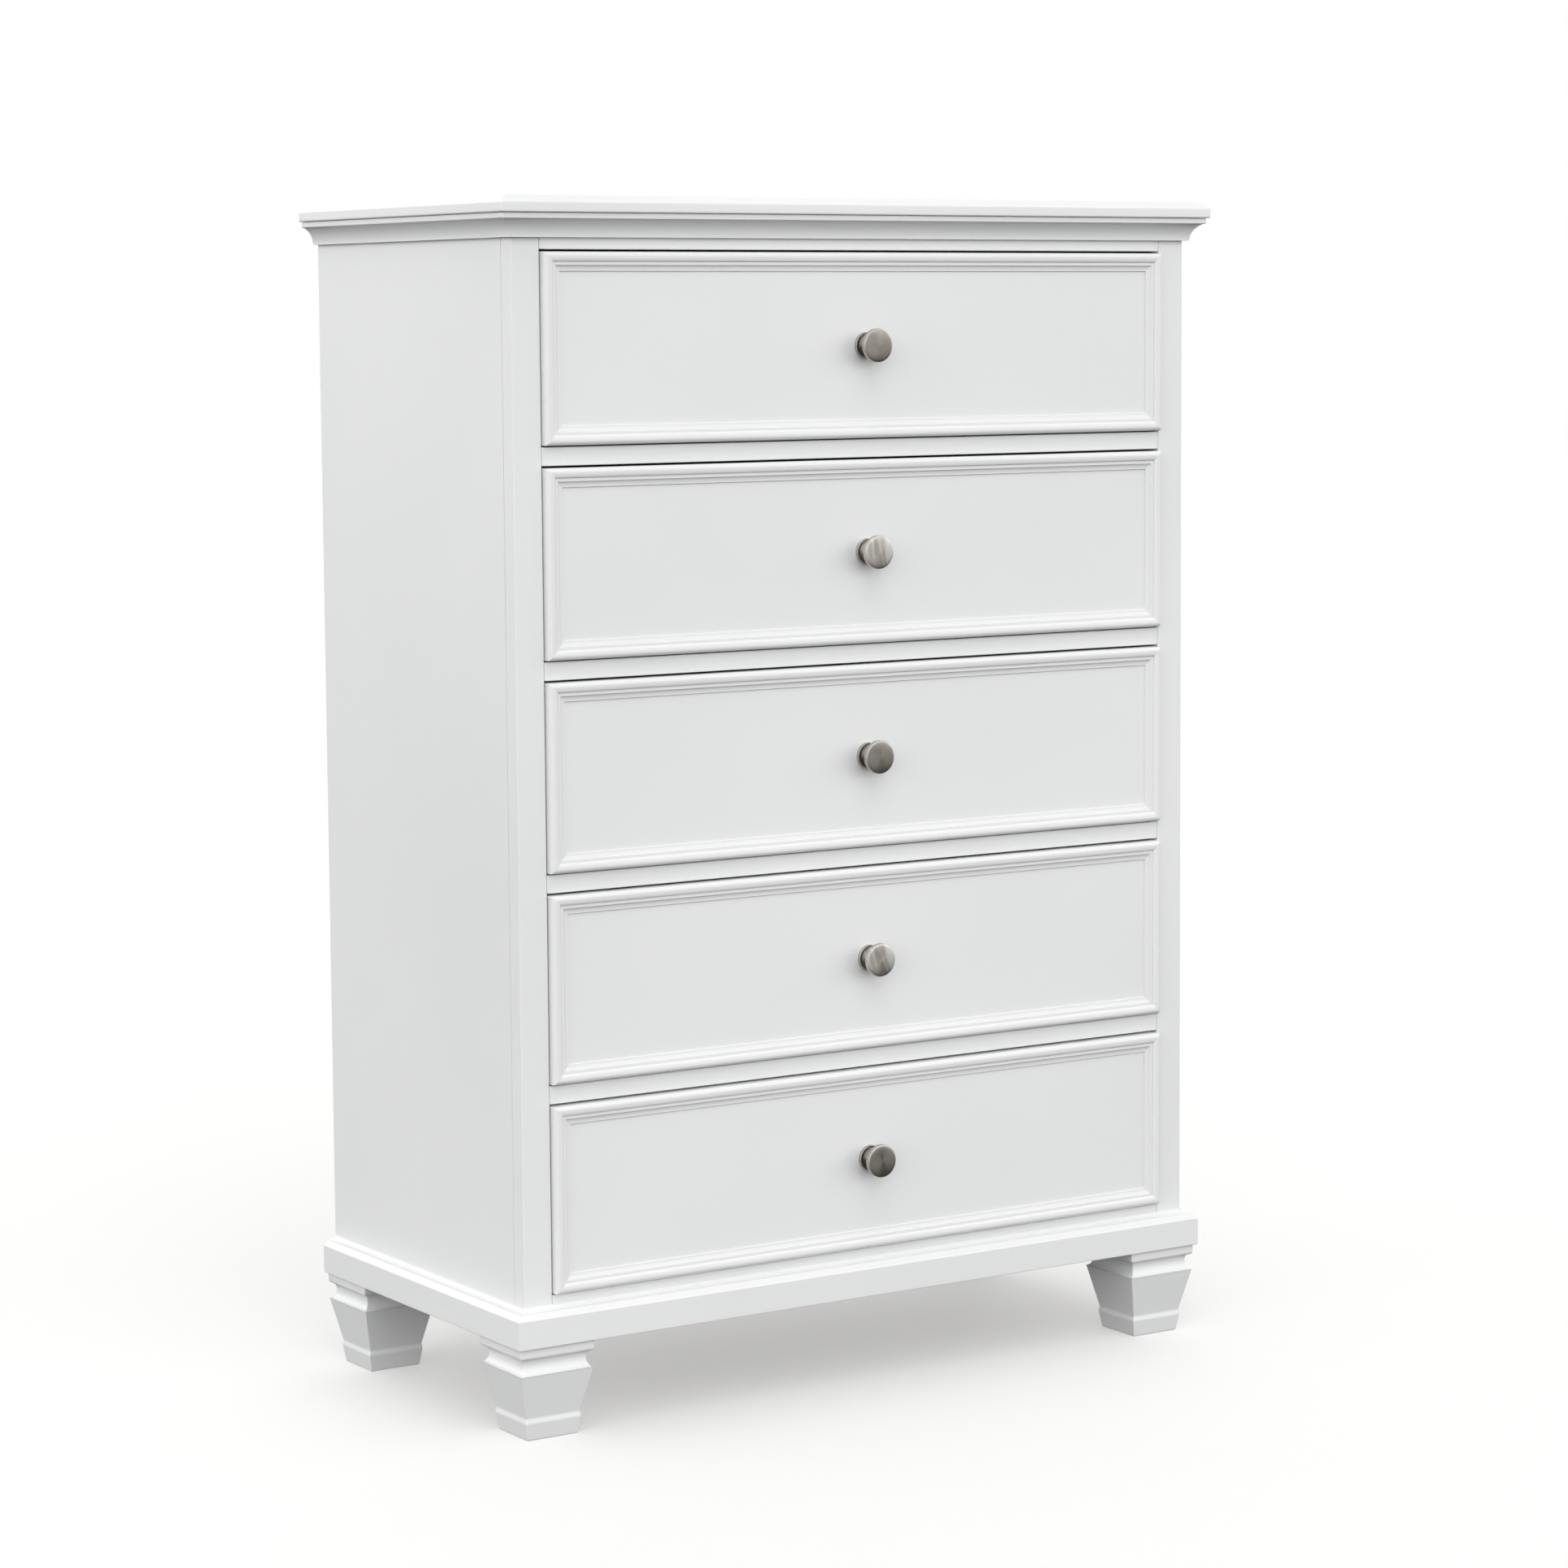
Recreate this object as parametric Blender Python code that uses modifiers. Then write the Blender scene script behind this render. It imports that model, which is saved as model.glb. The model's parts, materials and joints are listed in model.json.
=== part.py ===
"""Tall chest of five drawers on a moulded base with four tapered feet.

The chest stands on the floor at z = 0 and its drawers face -Y; +X is to the right of someone who
faces the drawers. The origin is on the floor, under the centre of the whole chest. All sizes are
in metres. Pieces that touch are GAP apart, and each drawer's pieces hang on an empty at the
middle of its front, from which the drawer slides straight out along -Y.
"""

import math

import bmesh
import bpy

# Case: outer faces of the sides, and front of the face frame to the back edge of the sides.
CASE_WIDTH = 0.880
CASE_DEPTH = 0.440
POST_WIDTH = 0.034
POST_DEPTH = 0.021
SIDE_THICKNESS = 0.018
RAIL_DEPTH = 0.045
BACK_THICKNESS = 0.006
BACK_INSET = 0.001
BACK_REBATE_WIDTH = 0.009
BOTTOM_THICKNESS = 0.006
ARRIS = 0.0008

# Heights, from the floor up. A "shown" rail is the strip that its moulding leaves in view.
FOOT_HEIGHT = 0.103
PLINTH_FACE_HEIGHT = 0.031
PLINTH_MOULD_HEIGHT = 0.011
BOTTOM_RAIL_SHOWN = 0.0095
OPENING_HEIGHT = 0.2052
RAIL_HEIGHT = 0.0196
TOP_RAIL_SHOWN = 0.0123
CROWN_HEIGHT = 0.0273
TOP_THICKNESS = 0.0165
DRAWER_COUNT = 5

# Top panel.
TOP_OVERHANG = 0.0232
TOP_LOWER_RADIUS = 0.0045
TOP_EDGE_FLAT = 0.002
TOP_UPPER_RADIUS = TOP_THICKNESS - TOP_EDGE_FLAT - TOP_LOWER_RADIUS
TOP_EDGE_SEGMENTS = 5

# Crown moulding under the top: a cove below a square fillet.
CROWN_OVERHANG = 0.0196
CROWN_FILLET_HEIGHT = 0.0060
CROWN_FILLET_ROUND = 0.0010
CROWN_COVE_OUT = 0.0175
CROWN_FOOT_OUT = 0.0060

# Plinth: a flat face, a chamfer, a small quirk and a cove up to the case.
PLINTH_OVERHANG = 0.0152
PLINTH_INNER_WIDTH = 0.045
PLINTH_CHAMFER_OUT = 0.0086
PLINTH_CHAMFER_HEIGHT = 0.0055
PLINTH_QUIRK = 0.0007
PLINTH_COVE_OUT = 0.0010
PLINTH_BACK_THICKNESS = 0.022

# Feet, square in plan, from the collar down. Widths are half the foot's, and a Z is from the floor.
FOOT_INSET = 0.034
FOOT_BACK_INSET = 0.0465
FOOT_COLLAR_HALF = 0.0450
FOOT_COLLAR_HEIGHT = 0.0085
FOOT_COLLAR_ROUND = 0.0035
FOOT_NECK_HEIGHT = 0.0069
FOOT_WAIST_HALF = 0.0383
FOOT_FLARE_HEIGHT = 0.0105
FOOT_SHOULDER_HALF = 0.0445
FOOT_ANKLE_HALF = 0.0330
FOOT_ANKLE_Z = 0.0244
FOOT_BASE_HALF = 0.0340
FOOT_BASE_Z = 0.0188
FOOT_SOLE_HALF = 0.0310

# Drawer front: a moulded frame round a flat field, all from one board.
FRONT_THICKNESS = 0.020
FRONT_PROUD = 0.0090
FRONT_TOP_CLEARANCE = 0.0024
FRONT_BOTTOM_CLEARANCE = 0.0016
FRONT_SIDE_CLEARANCE = 0.0013
BEAD_EDGE_PROUD = 0.0045
BEAD_ROUND = 0.0045
BEAD_WIDTH = 0.0102
BEAD_INNER_PROUD = 0.0073
FILLET_PROUD = 0.0066
FILLET_WIDTH = 0.0038
COVE_WIDTH = 0.0060
COVE_INNER_PROUD = 0.0042
STEP_WIDTH = 0.0006
FIELD_PROUD = 0.0025

# Drawer box.
BOX_SIDE_CLEARANCE = 0.003
BOX_SIDE_THICKNESS = 0.012
BOX_HEADROOM = 0.0386
BOX_SIDE_HEIGHT = OPENING_HEIGHT - FRONT_BOTTOM_CLEARANCE - BOX_HEADROOM
BOX_BACK_DROP = 0.008
BOX_REAR_CLEARANCE = 0.015
BOX_BOTTOM_THICKNESS = 0.005
GROOVE_DEPTH = 0.006

# Centre guide that each drawer's notched back rides on.
GUIDE_WIDTH = 0.040
GUIDE_HEIGHT = 0.009
GUIDE_FRONT_CLEARANCE = 0.004
NOTCH_SIDE_CLEARANCE = 0.0015
NOTCH_TOP_CLEARANCE = 0.002
NOTCH_WEB = 0.0023

# Knob: a turned head on a neck and a flange, with a stud through the drawer front.
KNOB_PROJECTION = 0.026
KNOB_FLANGE_RADIUS = 0.0145
KNOB_FLANGE_THICKNESS = 0.0030
KNOB_NECK_RADIUS = 0.0065
KNOB_HEAD_RADIUS = 0.0183
KNOB_RIM_HEIGHT = 0.0045
KNOB_DOME_HEIGHT = 0.0022
KNOB_STUD_RADIUS = 0.0020
KNOB_STUD_CLEARANCE = 0.0004
KNOB_STUD_END = 0.002
KNOB_SEGMENTS = 20
KNOB_CREASE = math.radians(35)
BORE_SEGMENTS = 12

GAP = 0.0003
MITRE_GAP = GAP / math.sqrt(2)

# Levels that follow from the heights.
PLINTH_TOP_Z = FOOT_HEIGHT + PLINTH_FACE_HEIGHT
LOWEST_OPENING_Z = PLINTH_TOP_Z + PLINTH_MOULD_HEIGHT + BOTTOM_RAIL_SHOWN
OPENING_PITCH = OPENING_HEIGHT + RAIL_HEIGHT
HIGHEST_OPENING_TOP_Z = LOWEST_OPENING_Z + DRAWER_COUNT * OPENING_PITCH - RAIL_HEIGHT
CROWN_BOTTOM_Z = HIGHEST_OPENING_TOP_Z + TOP_RAIL_SHOWN
TOP_BOTTOM_Z = CROWN_BOTTOM_Z + CROWN_HEIGHT
CASE_LOW_Z = PLINTH_TOP_Z + GAP
CASE_HIGH_Z = TOP_BOTTOM_Z - GAP

# Places that follow from the widths and depths.
HALF_WIDTH = CASE_WIDTH / 2
HALF_OPENING = HALF_WIDTH - POST_WIDTH
KNOB_FRONT_OUT = FIELD_PROUD + GAP + KNOB_PROJECTION
FRONT_Y = (max(KNOB_FRONT_OUT, TOP_OVERHANG) - CASE_DEPTH) / 2
BACK_Y = FRONT_Y + CASE_DEPTH
BACK_PANEL_FRONT_Y = BACK_Y - BACK_INSET - BACK_THICKNESS
FRONT_HEIGHT = OPENING_HEIGHT - FRONT_TOP_CLEARANCE - FRONT_BOTTOM_CLEARANCE
FRONT_INNER_DEPTH = FRONT_THICKNESS - FRONT_PROUD
BOX_HALF_WIDTH = HALF_OPENING - BOX_SIDE_CLEARANCE
BOX_REAR_DEPTH = BACK_PANEL_FRONT_Y - BOX_REAR_CLEARANCE - FRONT_Y

# Levels in a drawer, from the lower edge of its front. The groove for the bottom clears the notch.
NOTCH_TOP = GUIDE_HEIGHT + GAP + NOTCH_TOP_CLEARANCE - FRONT_BOTTOM_CLEARANCE
GROOVE_HEIGHT = NOTCH_TOP + NOTCH_WEB


def clear_scene():
    for obj in list(bpy.data.objects):
        bpy.data.objects.remove(obj, do_unlink=True)


def make_collection(name):
    collection = bpy.data.collections.new(name)
    bpy.context.scene.collection.children.link(collection)
    return collection


def make_material(name, colour, roughness, metallic=0.0):
    material = bpy.data.materials.new(name)
    material.use_nodes = True
    shader = material.node_tree.nodes["Principled BSDF"]
    shader.inputs["Base Color"].default_value = (*colour, 1.0)
    shader.inputs["Roughness"].default_value = roughness
    shader.inputs["Metallic"].default_value = metallic
    return material


def make_empty(name, location):
    empty = bpy.data.objects.new(name, None)
    empty.location = location
    CHEST.objects.link(empty)
    return empty


def place(name, mesh, material, parent, location, rotation=(0.0, 0.0, 0.0)):
    """An object that shows this mesh, at a place and a turn in its parent's frame."""
    if not mesh.materials:
        mesh.materials.append(material)
    obj = bpy.data.objects.new(name, mesh)
    obj.parent = parent
    obj.location = location
    obj.rotation_euler = rotation
    CHEST.objects.link(obj)
    return obj


def mesh_of(bm, name):
    mesh = bpy.data.meshes.new(name)
    bm.to_mesh(mesh)
    bm.free()
    return mesh


def block_bmesh(size):
    bm = bmesh.new()
    bmesh.ops.create_cube(bm, size=1.0)
    bmesh.ops.scale(bm, vec=size, verts=bm.verts)
    return bm


def block_mesh(name, size):
    return mesh_of(block_bmesh(size), name)


def board(name, low, high, material, parent, arris=0.0):
    """A plain board between two corners, with its edges eased where they show."""
    size = [b - a for a, b in zip(low, high)]
    middle = [(a + b) / 2 for a, b in zip(low, high)]
    obj = place(name, block_mesh(name, size), material, parent, middle)
    if arris:
        bevel = obj.modifiers.new("eased_edges", "BEVEL")
        bevel.width = arris
        bevel.segments = 1
    return obj


def arc(centre, radii, start, end, steps):
    """Points on an ellipse from one angle to another, in degrees."""
    angles = [math.radians(start + (end - start) * i / steps) for i in range(steps + 1)]
    return [(centre[0] + radii[0] * math.cos(a), centre[1] + radii[1] * math.sin(a)) for a in angles]


def evaluated_mesh(obj, name):
    """The finished mesh of a helper object, which is then removed."""
    graph = bpy.context.evaluated_depsgraph_get()
    mesh = bpy.data.meshes.new_from_object(obj.evaluated_get(graph))
    mesh.name = name
    bpy.data.objects.remove(obj, do_unlink=True)
    return mesh


def prism_mesh(name, outline, length):
    """A closed outline in the local XY plane, carried along local Z by half the length each way."""
    curve = bpy.data.curves.new(name, "CURVE")
    curve.dimensions = "2D"
    curve.fill_mode = "BOTH"
    curve.extrude = length / 2
    spline = curve.splines.new("POLY")
    spline.points.add(len(outline) - 1)
    for point, (x, y) in zip(spline.points, outline):
        point.co = (x, y, 0.0, 1.0)
    spline.use_cyclic_u = True
    blank = bpy.data.objects.new(name, curve)
    bpy.context.scene.collection.objects.link(blank)
    mesh = evaluated_mesh(blank, name)
    bm = bmesh.new()
    bm.from_mesh(mesh)
    bmesh.ops.remove_doubles(bm, verts=bm.verts, dist=1e-6)
    bmesh.ops.recalc_face_normals(bm, faces=bm.faces)
    bm.to_mesh(mesh)
    bm.free()
    return mesh


def mitre(mesh, end):
    """Slopes one end of a moulding so that its outer side runs on to meet its neighbour."""
    for vertex in mesh.vertices:
        if vertex.co.z * end > 0:
            vertex.co.z += end * (vertex.co.x - MITRE_GAP)


def cut(mesh, cutter_mesh, location, rotation=(0.0, 0.0, 0.0)):
    """The mesh with one cutter taken out of it."""
    blank = bpy.data.objects.new("blank", mesh)
    bpy.context.scene.collection.objects.link(blank)
    cutter = bpy.data.objects.new("cutter", cutter_mesh)
    cutter.location = location
    cutter.rotation_euler = rotation
    cutter.hide_render = True
    cutter.display_type = "WIRE"
    CUTTERS.objects.link(cutter)
    boolean = blank.modifiers.new("cut", "BOOLEAN")
    boolean.operation = "DIFFERENCE"
    boolean.solver = "EXACT"
    boolean.object = cutter
    result = evaluated_mesh(blank, mesh.name)
    bpy.data.objects.remove(cutter, do_unlink=True)
    return result


def profile_mesh(name, profile):
    """A line of edges in the XZ plane, from the top of the axis round the outside to its foot."""
    mesh = bpy.data.meshes.new(name)
    edges = [(i, i + 1) for i in range(len(profile) - 1)]
    mesh.from_pydata([(x, 0.0, z) for x, z in profile], edges, [])
    return mesh


def turned_mesh(name, profile, segments):
    """The profile turned round local Z; four segments give a square section."""
    blank = bpy.data.objects.new(name, profile_mesh(name, profile))
    bpy.context.scene.collection.objects.link(blank)
    screw = blank.modifiers.new("turn", "SCREW")
    screw.steps = segments
    screw.render_steps = segments
    screw.use_merge_vertices = True
    screw.merge_threshold = 1e-5
    return evaluated_mesh(blank, name)


# Faces of the moulded pieces, as the turn about Z of a section whose local X points outward.
FACES_RIGHT = (math.pi / 2, 0.0, 0.0)
FACES_LEFT = (math.pi / 2, 0.0, math.pi)
FACES_FRONT = (math.pi / 2, 0.0, -math.pi / 2)


def three_sides(stem, outline, low_z, material, parent):
    """A moulding round the front and both sides: mitred at the front corners, square at the back."""
    front = prism_mesh(f"{stem}_front", outline, CASE_WIDTH)
    mitre(front, -1)
    mitre(front, +1)
    place(f"{stem}_front", front, material, parent, (0.0, FRONT_Y, low_z), FACES_FRONT)
    middle_y = (FRONT_Y + BACK_Y) / 2
    left = prism_mesh(f"{stem}_left", outline, CASE_DEPTH)
    mitre(left, -1)
    place(f"{stem}_left", left, material, parent, (-HALF_WIDTH, middle_y, low_z), FACES_LEFT)
    right = prism_mesh(f"{stem}_right", outline, CASE_DEPTH)
    mitre(right, +1)
    place(f"{stem}_right", right, material, parent, (HALF_WIDTH, middle_y, low_z), FACES_RIGHT)


def crown_outline():
    """Section of the crown: outward from the case face, and up from its lower edge."""
    fillet_z = CROWN_HEIGHT - CROWN_FILLET_HEIGHT
    cove_radii = (CROWN_COVE_OUT - CROWN_FOOT_OUT, fillet_z - CROWN_FILLET_ROUND)
    round_centre = (CROWN_OVERHANG - CROWN_FILLET_ROUND, fillet_z)
    points = [(GAP, 0.0)]
    points += arc((CROWN_COVE_OUT, 0.0), cove_radii, 180, 90, steps=7)
    points += arc(round_centre, (CROWN_FILLET_ROUND, CROWN_FILLET_ROUND), -90, 0, steps=2)
    points += [(CROWN_OVERHANG, CROWN_HEIGHT - GAP), (GAP, CROWN_HEIGHT - GAP)]
    return points


def plinth_outline():
    """Section of the plinth: the case stands on its seat, and the moulding wraps the case's foot."""
    chamfer_z = PLINTH_FACE_HEIGHT + PLINTH_CHAMFER_HEIGHT
    quirk_z = chamfer_z + PLINTH_QUIRK
    high_z = PLINTH_FACE_HEIGHT + PLINTH_MOULD_HEIGHT
    cove_start = PLINTH_CHAMFER_OUT - PLINTH_QUIRK
    cove_radii = (cove_start - PLINTH_COVE_OUT, high_z - quirk_z)
    points = [(-PLINTH_INNER_WIDTH, 0.0), (PLINTH_OVERHANG, 0.0)]
    points += [(PLINTH_OVERHANG, PLINTH_FACE_HEIGHT), (PLINTH_CHAMFER_OUT, chamfer_z)]
    points += [(PLINTH_CHAMFER_OUT, quirk_z)]
    points += arc((cove_start, high_z), cove_radii, 270, 180, steps=4)
    points += [(GAP, high_z), (GAP, PLINTH_FACE_HEIGHT), (-PLINTH_INNER_WIDTH, PLINTH_FACE_HEIGHT)]
    return points


def foot_profile():
    """Half-section of a foot, top to bottom: collar, waist, shoulder, taper and base block."""
    high_z = FOOT_HEIGHT - GAP
    collar_z = high_z - FOOT_COLLAR_HEIGHT
    under_half = FOOT_COLLAR_HALF - FOOT_COLLAR_ROUND
    under_z = collar_z - FOOT_COLLAR_ROUND
    waist_z = under_z - FOOT_NECK_HEIGHT
    points = [(0.0, high_z), (FOOT_COLLAR_HALF, high_z)]
    points += arc((under_half, collar_z), (FOOT_COLLAR_ROUND, FOOT_COLLAR_ROUND), 0, -90, steps=3)
    neck_radii = (under_half - FOOT_WAIST_HALF, FOOT_NECK_HEIGHT)
    points += arc((under_half, waist_z), neck_radii, 90, 180, steps=4)[1:]
    flare_radii = (FOOT_SHOULDER_HALF - FOOT_WAIST_HALF, FOOT_FLARE_HEIGHT)
    points += arc((FOOT_SHOULDER_HALF, waist_z), flare_radii, 180, 270, steps=5)[1:]
    points += [(FOOT_ANKLE_HALF, FOOT_ANKLE_Z), (FOOT_BASE_HALF, FOOT_BASE_Z)]
    points += [(FOOT_SOLE_HALF, 0.0), (0.0, 0.0)]
    return [(half * math.sqrt(2), z) for half, z in points]


def knob_profile():
    """Half-section of a knob, from its face to the end of its stud. z = 0 is the flange's seat."""
    rim_z = KNOB_PROJECTION - KNOB_DOME_HEIGHT
    under_z = rim_z - KNOB_RIM_HEIGHT
    neck_z = KNOB_FLANGE_THICKNESS + (under_z - KNOB_FLANGE_THICKNESS) / 2
    head_radii = (KNOB_HEAD_RADIUS - KNOB_NECK_RADIUS, under_z - neck_z)
    flange_radii = (KNOB_FLANGE_RADIUS - KNOB_NECK_RADIUS, neck_z - KNOB_FLANGE_THICKNESS)
    stud_end = -(FRONT_THICKNESS - FRONT_PROUD + FIELD_PROUD + GAP + KNOB_STUD_END)
    points = arc((0.0, rim_z), (KNOB_HEAD_RADIUS, KNOB_DOME_HEIGHT), 90, 0, steps=4)
    points += arc((KNOB_HEAD_RADIUS, neck_z), head_radii, 90, 180, steps=4)
    points += arc((KNOB_FLANGE_RADIUS, neck_z), flange_radii, 180, 270, steps=3)[1:]
    points += [(KNOB_FLANGE_RADIUS, 0.0), (KNOB_STUD_RADIUS, 0.0)]
    points += [(KNOB_STUD_RADIUS, stud_end), (0.0, stud_end)]
    points[0] = (0.0, KNOB_PROJECTION)
    return points


def front_moulding():
    """How the drawer front's face steps inward: (distance in from the edge, how far proud)."""
    bead_low = BEAD_INNER_PROUD
    bead_crest = BEAD_ROUND
    round_height = FRONT_PROUD - BEAD_EDGE_PROUD
    points = arc((bead_crest, BEAD_EDGE_PROUD), (BEAD_ROUND, round_height), 180, 90, steps=4)
    roll_radii = (BEAD_WIDTH - bead_crest, FRONT_PROUD - bead_low)
    points += arc((bead_crest, bead_low), roll_radii, 90, 0, steps=4)[1:]
    points.append((BEAD_WIDTH + STEP_WIDTH / 2, FILLET_PROUD))
    fillet_end = BEAD_WIDTH + FILLET_WIDTH
    cove_end = fillet_end + COVE_WIDTH
    cove_radii = (COVE_WIDTH, FILLET_PROUD - COVE_INNER_PROUD)
    points += arc((cove_end, FILLET_PROUD), cove_radii, 180, 270, steps=4)
    points.append((cove_end + STEP_WIDTH, FIELD_PROUD))
    return points


def front_mesh():
    """The board's face inset again and again along the moulding, then bored and grooved."""
    width = 2 * (HALF_OPENING - FRONT_SIDE_CLEARANCE)
    points = front_moulding()
    thickness = FRONT_INNER_DEPTH + points[0][1]
    bm = block_bmesh((width, thickness, FRONT_HEIGHT))
    bmesh.ops.translate(bm, vec=(0.0, FRONT_INNER_DEPTH - thickness / 2, 0.0), verts=bm.verts)
    bm.normal_update()
    face = min(bm.faces, key=lambda f: f.normal.y)
    for (inset_a, proud_a), (inset_b, proud_b) in zip(points, points[1:]):
        step, rise = inset_b - inset_a, proud_b - proud_a
        bmesh.ops.inset_individual(bm, faces=[face], thickness=step, depth=rise, use_even_offset=True)
    mesh = mesh_of(bm, "drawer_front")
    groove_width = 2 * (BOX_HALF_WIDTH - BOX_SIDE_THICKNESS + GROOVE_DEPTH)
    groove_size = (groove_width, 2 * GROOVE_DEPTH, BOX_BOTTOM_THICKNESS + 2 * GAP)
    groove_z = GROOVE_HEIGHT + BOX_BOTTOM_THICKNESS / 2 - FRONT_HEIGHT / 2
    mesh = cut(mesh, block_mesh("groove", groove_size), (0.0, FRONT_INNER_DEPTH, groove_z))
    bm = bmesh.new()
    bore = KNOB_STUD_RADIUS + KNOB_STUD_CLEARANCE
    bmesh.ops.create_cone(
        bm, cap_ends=True, segments=BORE_SEGMENTS, radius1=bore, radius2=bore, depth=4 * FRONT_THICKNESS
    )
    return cut(mesh, mesh_of(bm, "bore"), (0.0, 0.0, 0.0), (math.pi / 2, 0.0, 0.0))


def grooved_outline(height):
    """Section of a box side or back: local X points to the inside of the drawer, from its outer face."""
    low, high = GROOVE_HEIGHT - GAP, GROOVE_HEIGHT + BOX_BOTTOM_THICKNESS + GAP
    floor = BOX_SIDE_THICKNESS - GROOVE_DEPTH
    inner = BOX_SIDE_THICKNESS
    points = [(0.0, 0.0), (inner, 0.0), (inner, low), (floor, low), (floor, high), (inner, high)]
    return points + [(inner, height), (0.0, height)]


def back_mesh():
    """The drawer's back: grooved for the bottom and notched to ride over the centre guide."""
    length = 2 * (BOX_HALF_WIDTH - BOX_SIDE_THICKNESS - GAP)
    mesh = prism_mesh("drawer_back", grooved_outline(BOX_SIDE_HEIGHT - BOX_BACK_DROP), length)
    notch_width = GUIDE_WIDTH + 2 * NOTCH_SIDE_CLEARANCE
    notch = block_mesh("notch", (4 * BOX_SIDE_THICKNESS, 2 * NOTCH_TOP, notch_width))
    return cut(mesh, notch, (0.0, 0.0, 0.0))


def build_top(parent):
    """The top panel overhangs the front and sides, with a rounded edge there and a flat back edge."""
    size = (CASE_WIDTH + 2 * TOP_OVERHANG, CASE_DEPTH + TOP_OVERHANG, TOP_THICKNESS)
    middle = (0.0, BACK_Y - size[1] / 2, TOP_BOTTOM_Z + TOP_THICKNESS / 2)
    obj = place("top_panel", block_mesh("top_panel", size), PAINT, parent, middle)
    weights = obj.data.attributes.new("bevel_weight_edge", "FLOAT", "EDGE")
    for edge, weight in zip(obj.data.edges, weights.data):
        a, b = (obj.data.vertices[i].co for i in edge.vertices)
        level = abs(a.z - b.z) < TOP_THICKNESS / 2
        at_back = a.y > 0 and b.y > 0
        if level and not at_back:
            weight.value = 1.0 if a.z > 0 else TOP_LOWER_RADIUS / TOP_UPPER_RADIUS
    bevel = obj.modifiers.new("rounded_edge", "BEVEL")
    bevel.limit_method = "WEIGHT"
    bevel.width = TOP_UPPER_RADIUS
    bevel.segments = TOP_EDGE_SEGMENTS


def side_outline():
    """Plan of a side panel: local X runs inward from its outer face, local Y from front to back."""
    front = POST_DEPTH + GAP
    rebate_y = CASE_DEPTH - BACK_INSET - BACK_THICKNESS - GAP
    rebate_x = SIDE_THICKNESS - BACK_REBATE_WIDTH
    points = [(0.0, front), (SIDE_THICKNESS, front), (SIDE_THICKNESS, rebate_y)]
    return points + [(rebate_x, rebate_y), (rebate_x, CASE_DEPTH), (0.0, CASE_DEPTH)]


def build_sides(parent):
    """Side panels behind the posts, rebated at the back edge for the back panel."""
    middle_z = (CASE_LOW_Z + CASE_HIGH_Z) / 2
    for side, sign in (("left", -1), ("right", +1)):
        outline = [(-sign * x, y) for x, y in side_outline()]
        mesh = prism_mesh(f"side_panel_{side}", outline, CASE_HIGH_Z - CASE_LOW_Z)
        spot = (sign * HALF_WIDTH, FRONT_Y, middle_z)
        place(f"side_panel_{side}", mesh, PAINT, parent, spot)


def build_face_frame(parent):
    """Two front posts with rails between them."""
    for side, sign in (("left", -1), ("right", +1)):
        edges = sorted((sign * HALF_WIDTH, sign * HALF_OPENING))
        low = (edges[0], FRONT_Y, CASE_LOW_Z)
        high = (edges[1], FRONT_Y + POST_DEPTH, CASE_HIGH_Z)
        board(f"front_post_{side}", low, high, PAINT, parent, ARRIS)
    half_rail = HALF_OPENING - GAP
    spans = [("bottom_rail", CASE_LOW_Z, LOWEST_OPENING_Z)]
    for number in range(1, DRAWER_COUNT):
        top_z = HIGHEST_OPENING_TOP_Z - number * OPENING_PITCH + RAIL_HEIGHT
        spans.append((f"divider_rail_{number}", top_z - RAIL_HEIGHT, top_z))
    spans.append(("top_rail", HIGHEST_OPENING_TOP_Z, CASE_HIGH_Z))
    for name, low_z, high_z in spans:
        low = (-half_rail, FRONT_Y, low_z)
        high = (half_rail, FRONT_Y + RAIL_DEPTH, high_z)
        board(name, low, high, PAINT, parent, ARRIS)


def build_panels(parent):
    """The thin back in the sides' rebates, and the bottom on the plinth's seat."""
    half_back = HALF_WIDTH - SIDE_THICKNESS + BACK_REBATE_WIDTH - GAP
    low = (-half_back, BACK_PANEL_FRONT_Y, CASE_LOW_Z)
    high = (half_back, BACK_PANEL_FRONT_Y + BACK_THICKNESS, CASE_HIGH_Z)
    board("back_panel", low, high, BOARD, parent)
    half_bottom = HALF_WIDTH - SIDE_THICKNESS - GAP
    low = (-half_bottom, FRONT_Y + RAIL_DEPTH + GAP, CASE_LOW_Z)
    high = (half_bottom, BACK_PANEL_FRONT_Y - GAP, CASE_LOW_Z + BOTTOM_THICKNESS)
    board("bottom_panel", low, high, BOARD, parent)


def build_base(parent):
    """The moulded plinth frame, its plain back rail and the four feet."""
    three_sides("plinth", plinth_outline(), FOOT_HEIGHT, PAINT, parent)
    half_back = HALF_WIDTH - PLINTH_INNER_WIDTH - GAP
    low = (-half_back, BACK_Y - PLINTH_BACK_THICKNESS, FOOT_HEIGHT)
    high = (half_back, BACK_Y, PLINTH_TOP_Z)
    board("plinth_back", low, high, PAINT, parent, ARRIS)
    foot = turned_mesh("foot", foot_profile(), 4)
    x = HALF_WIDTH - FOOT_INSET
    rows = (("front", FRONT_Y + FOOT_INSET), ("back", BACK_Y - FOOT_BACK_INSET))
    for row, y in rows:
        for side, sign in (("left", -1), ("right", +1)):
            turn = (0.0, 0.0, math.pi / 4)
            place(f"foot_{row}_{side}", foot, PAINT, parent, (sign * x, y, 0.0), turn)


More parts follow.
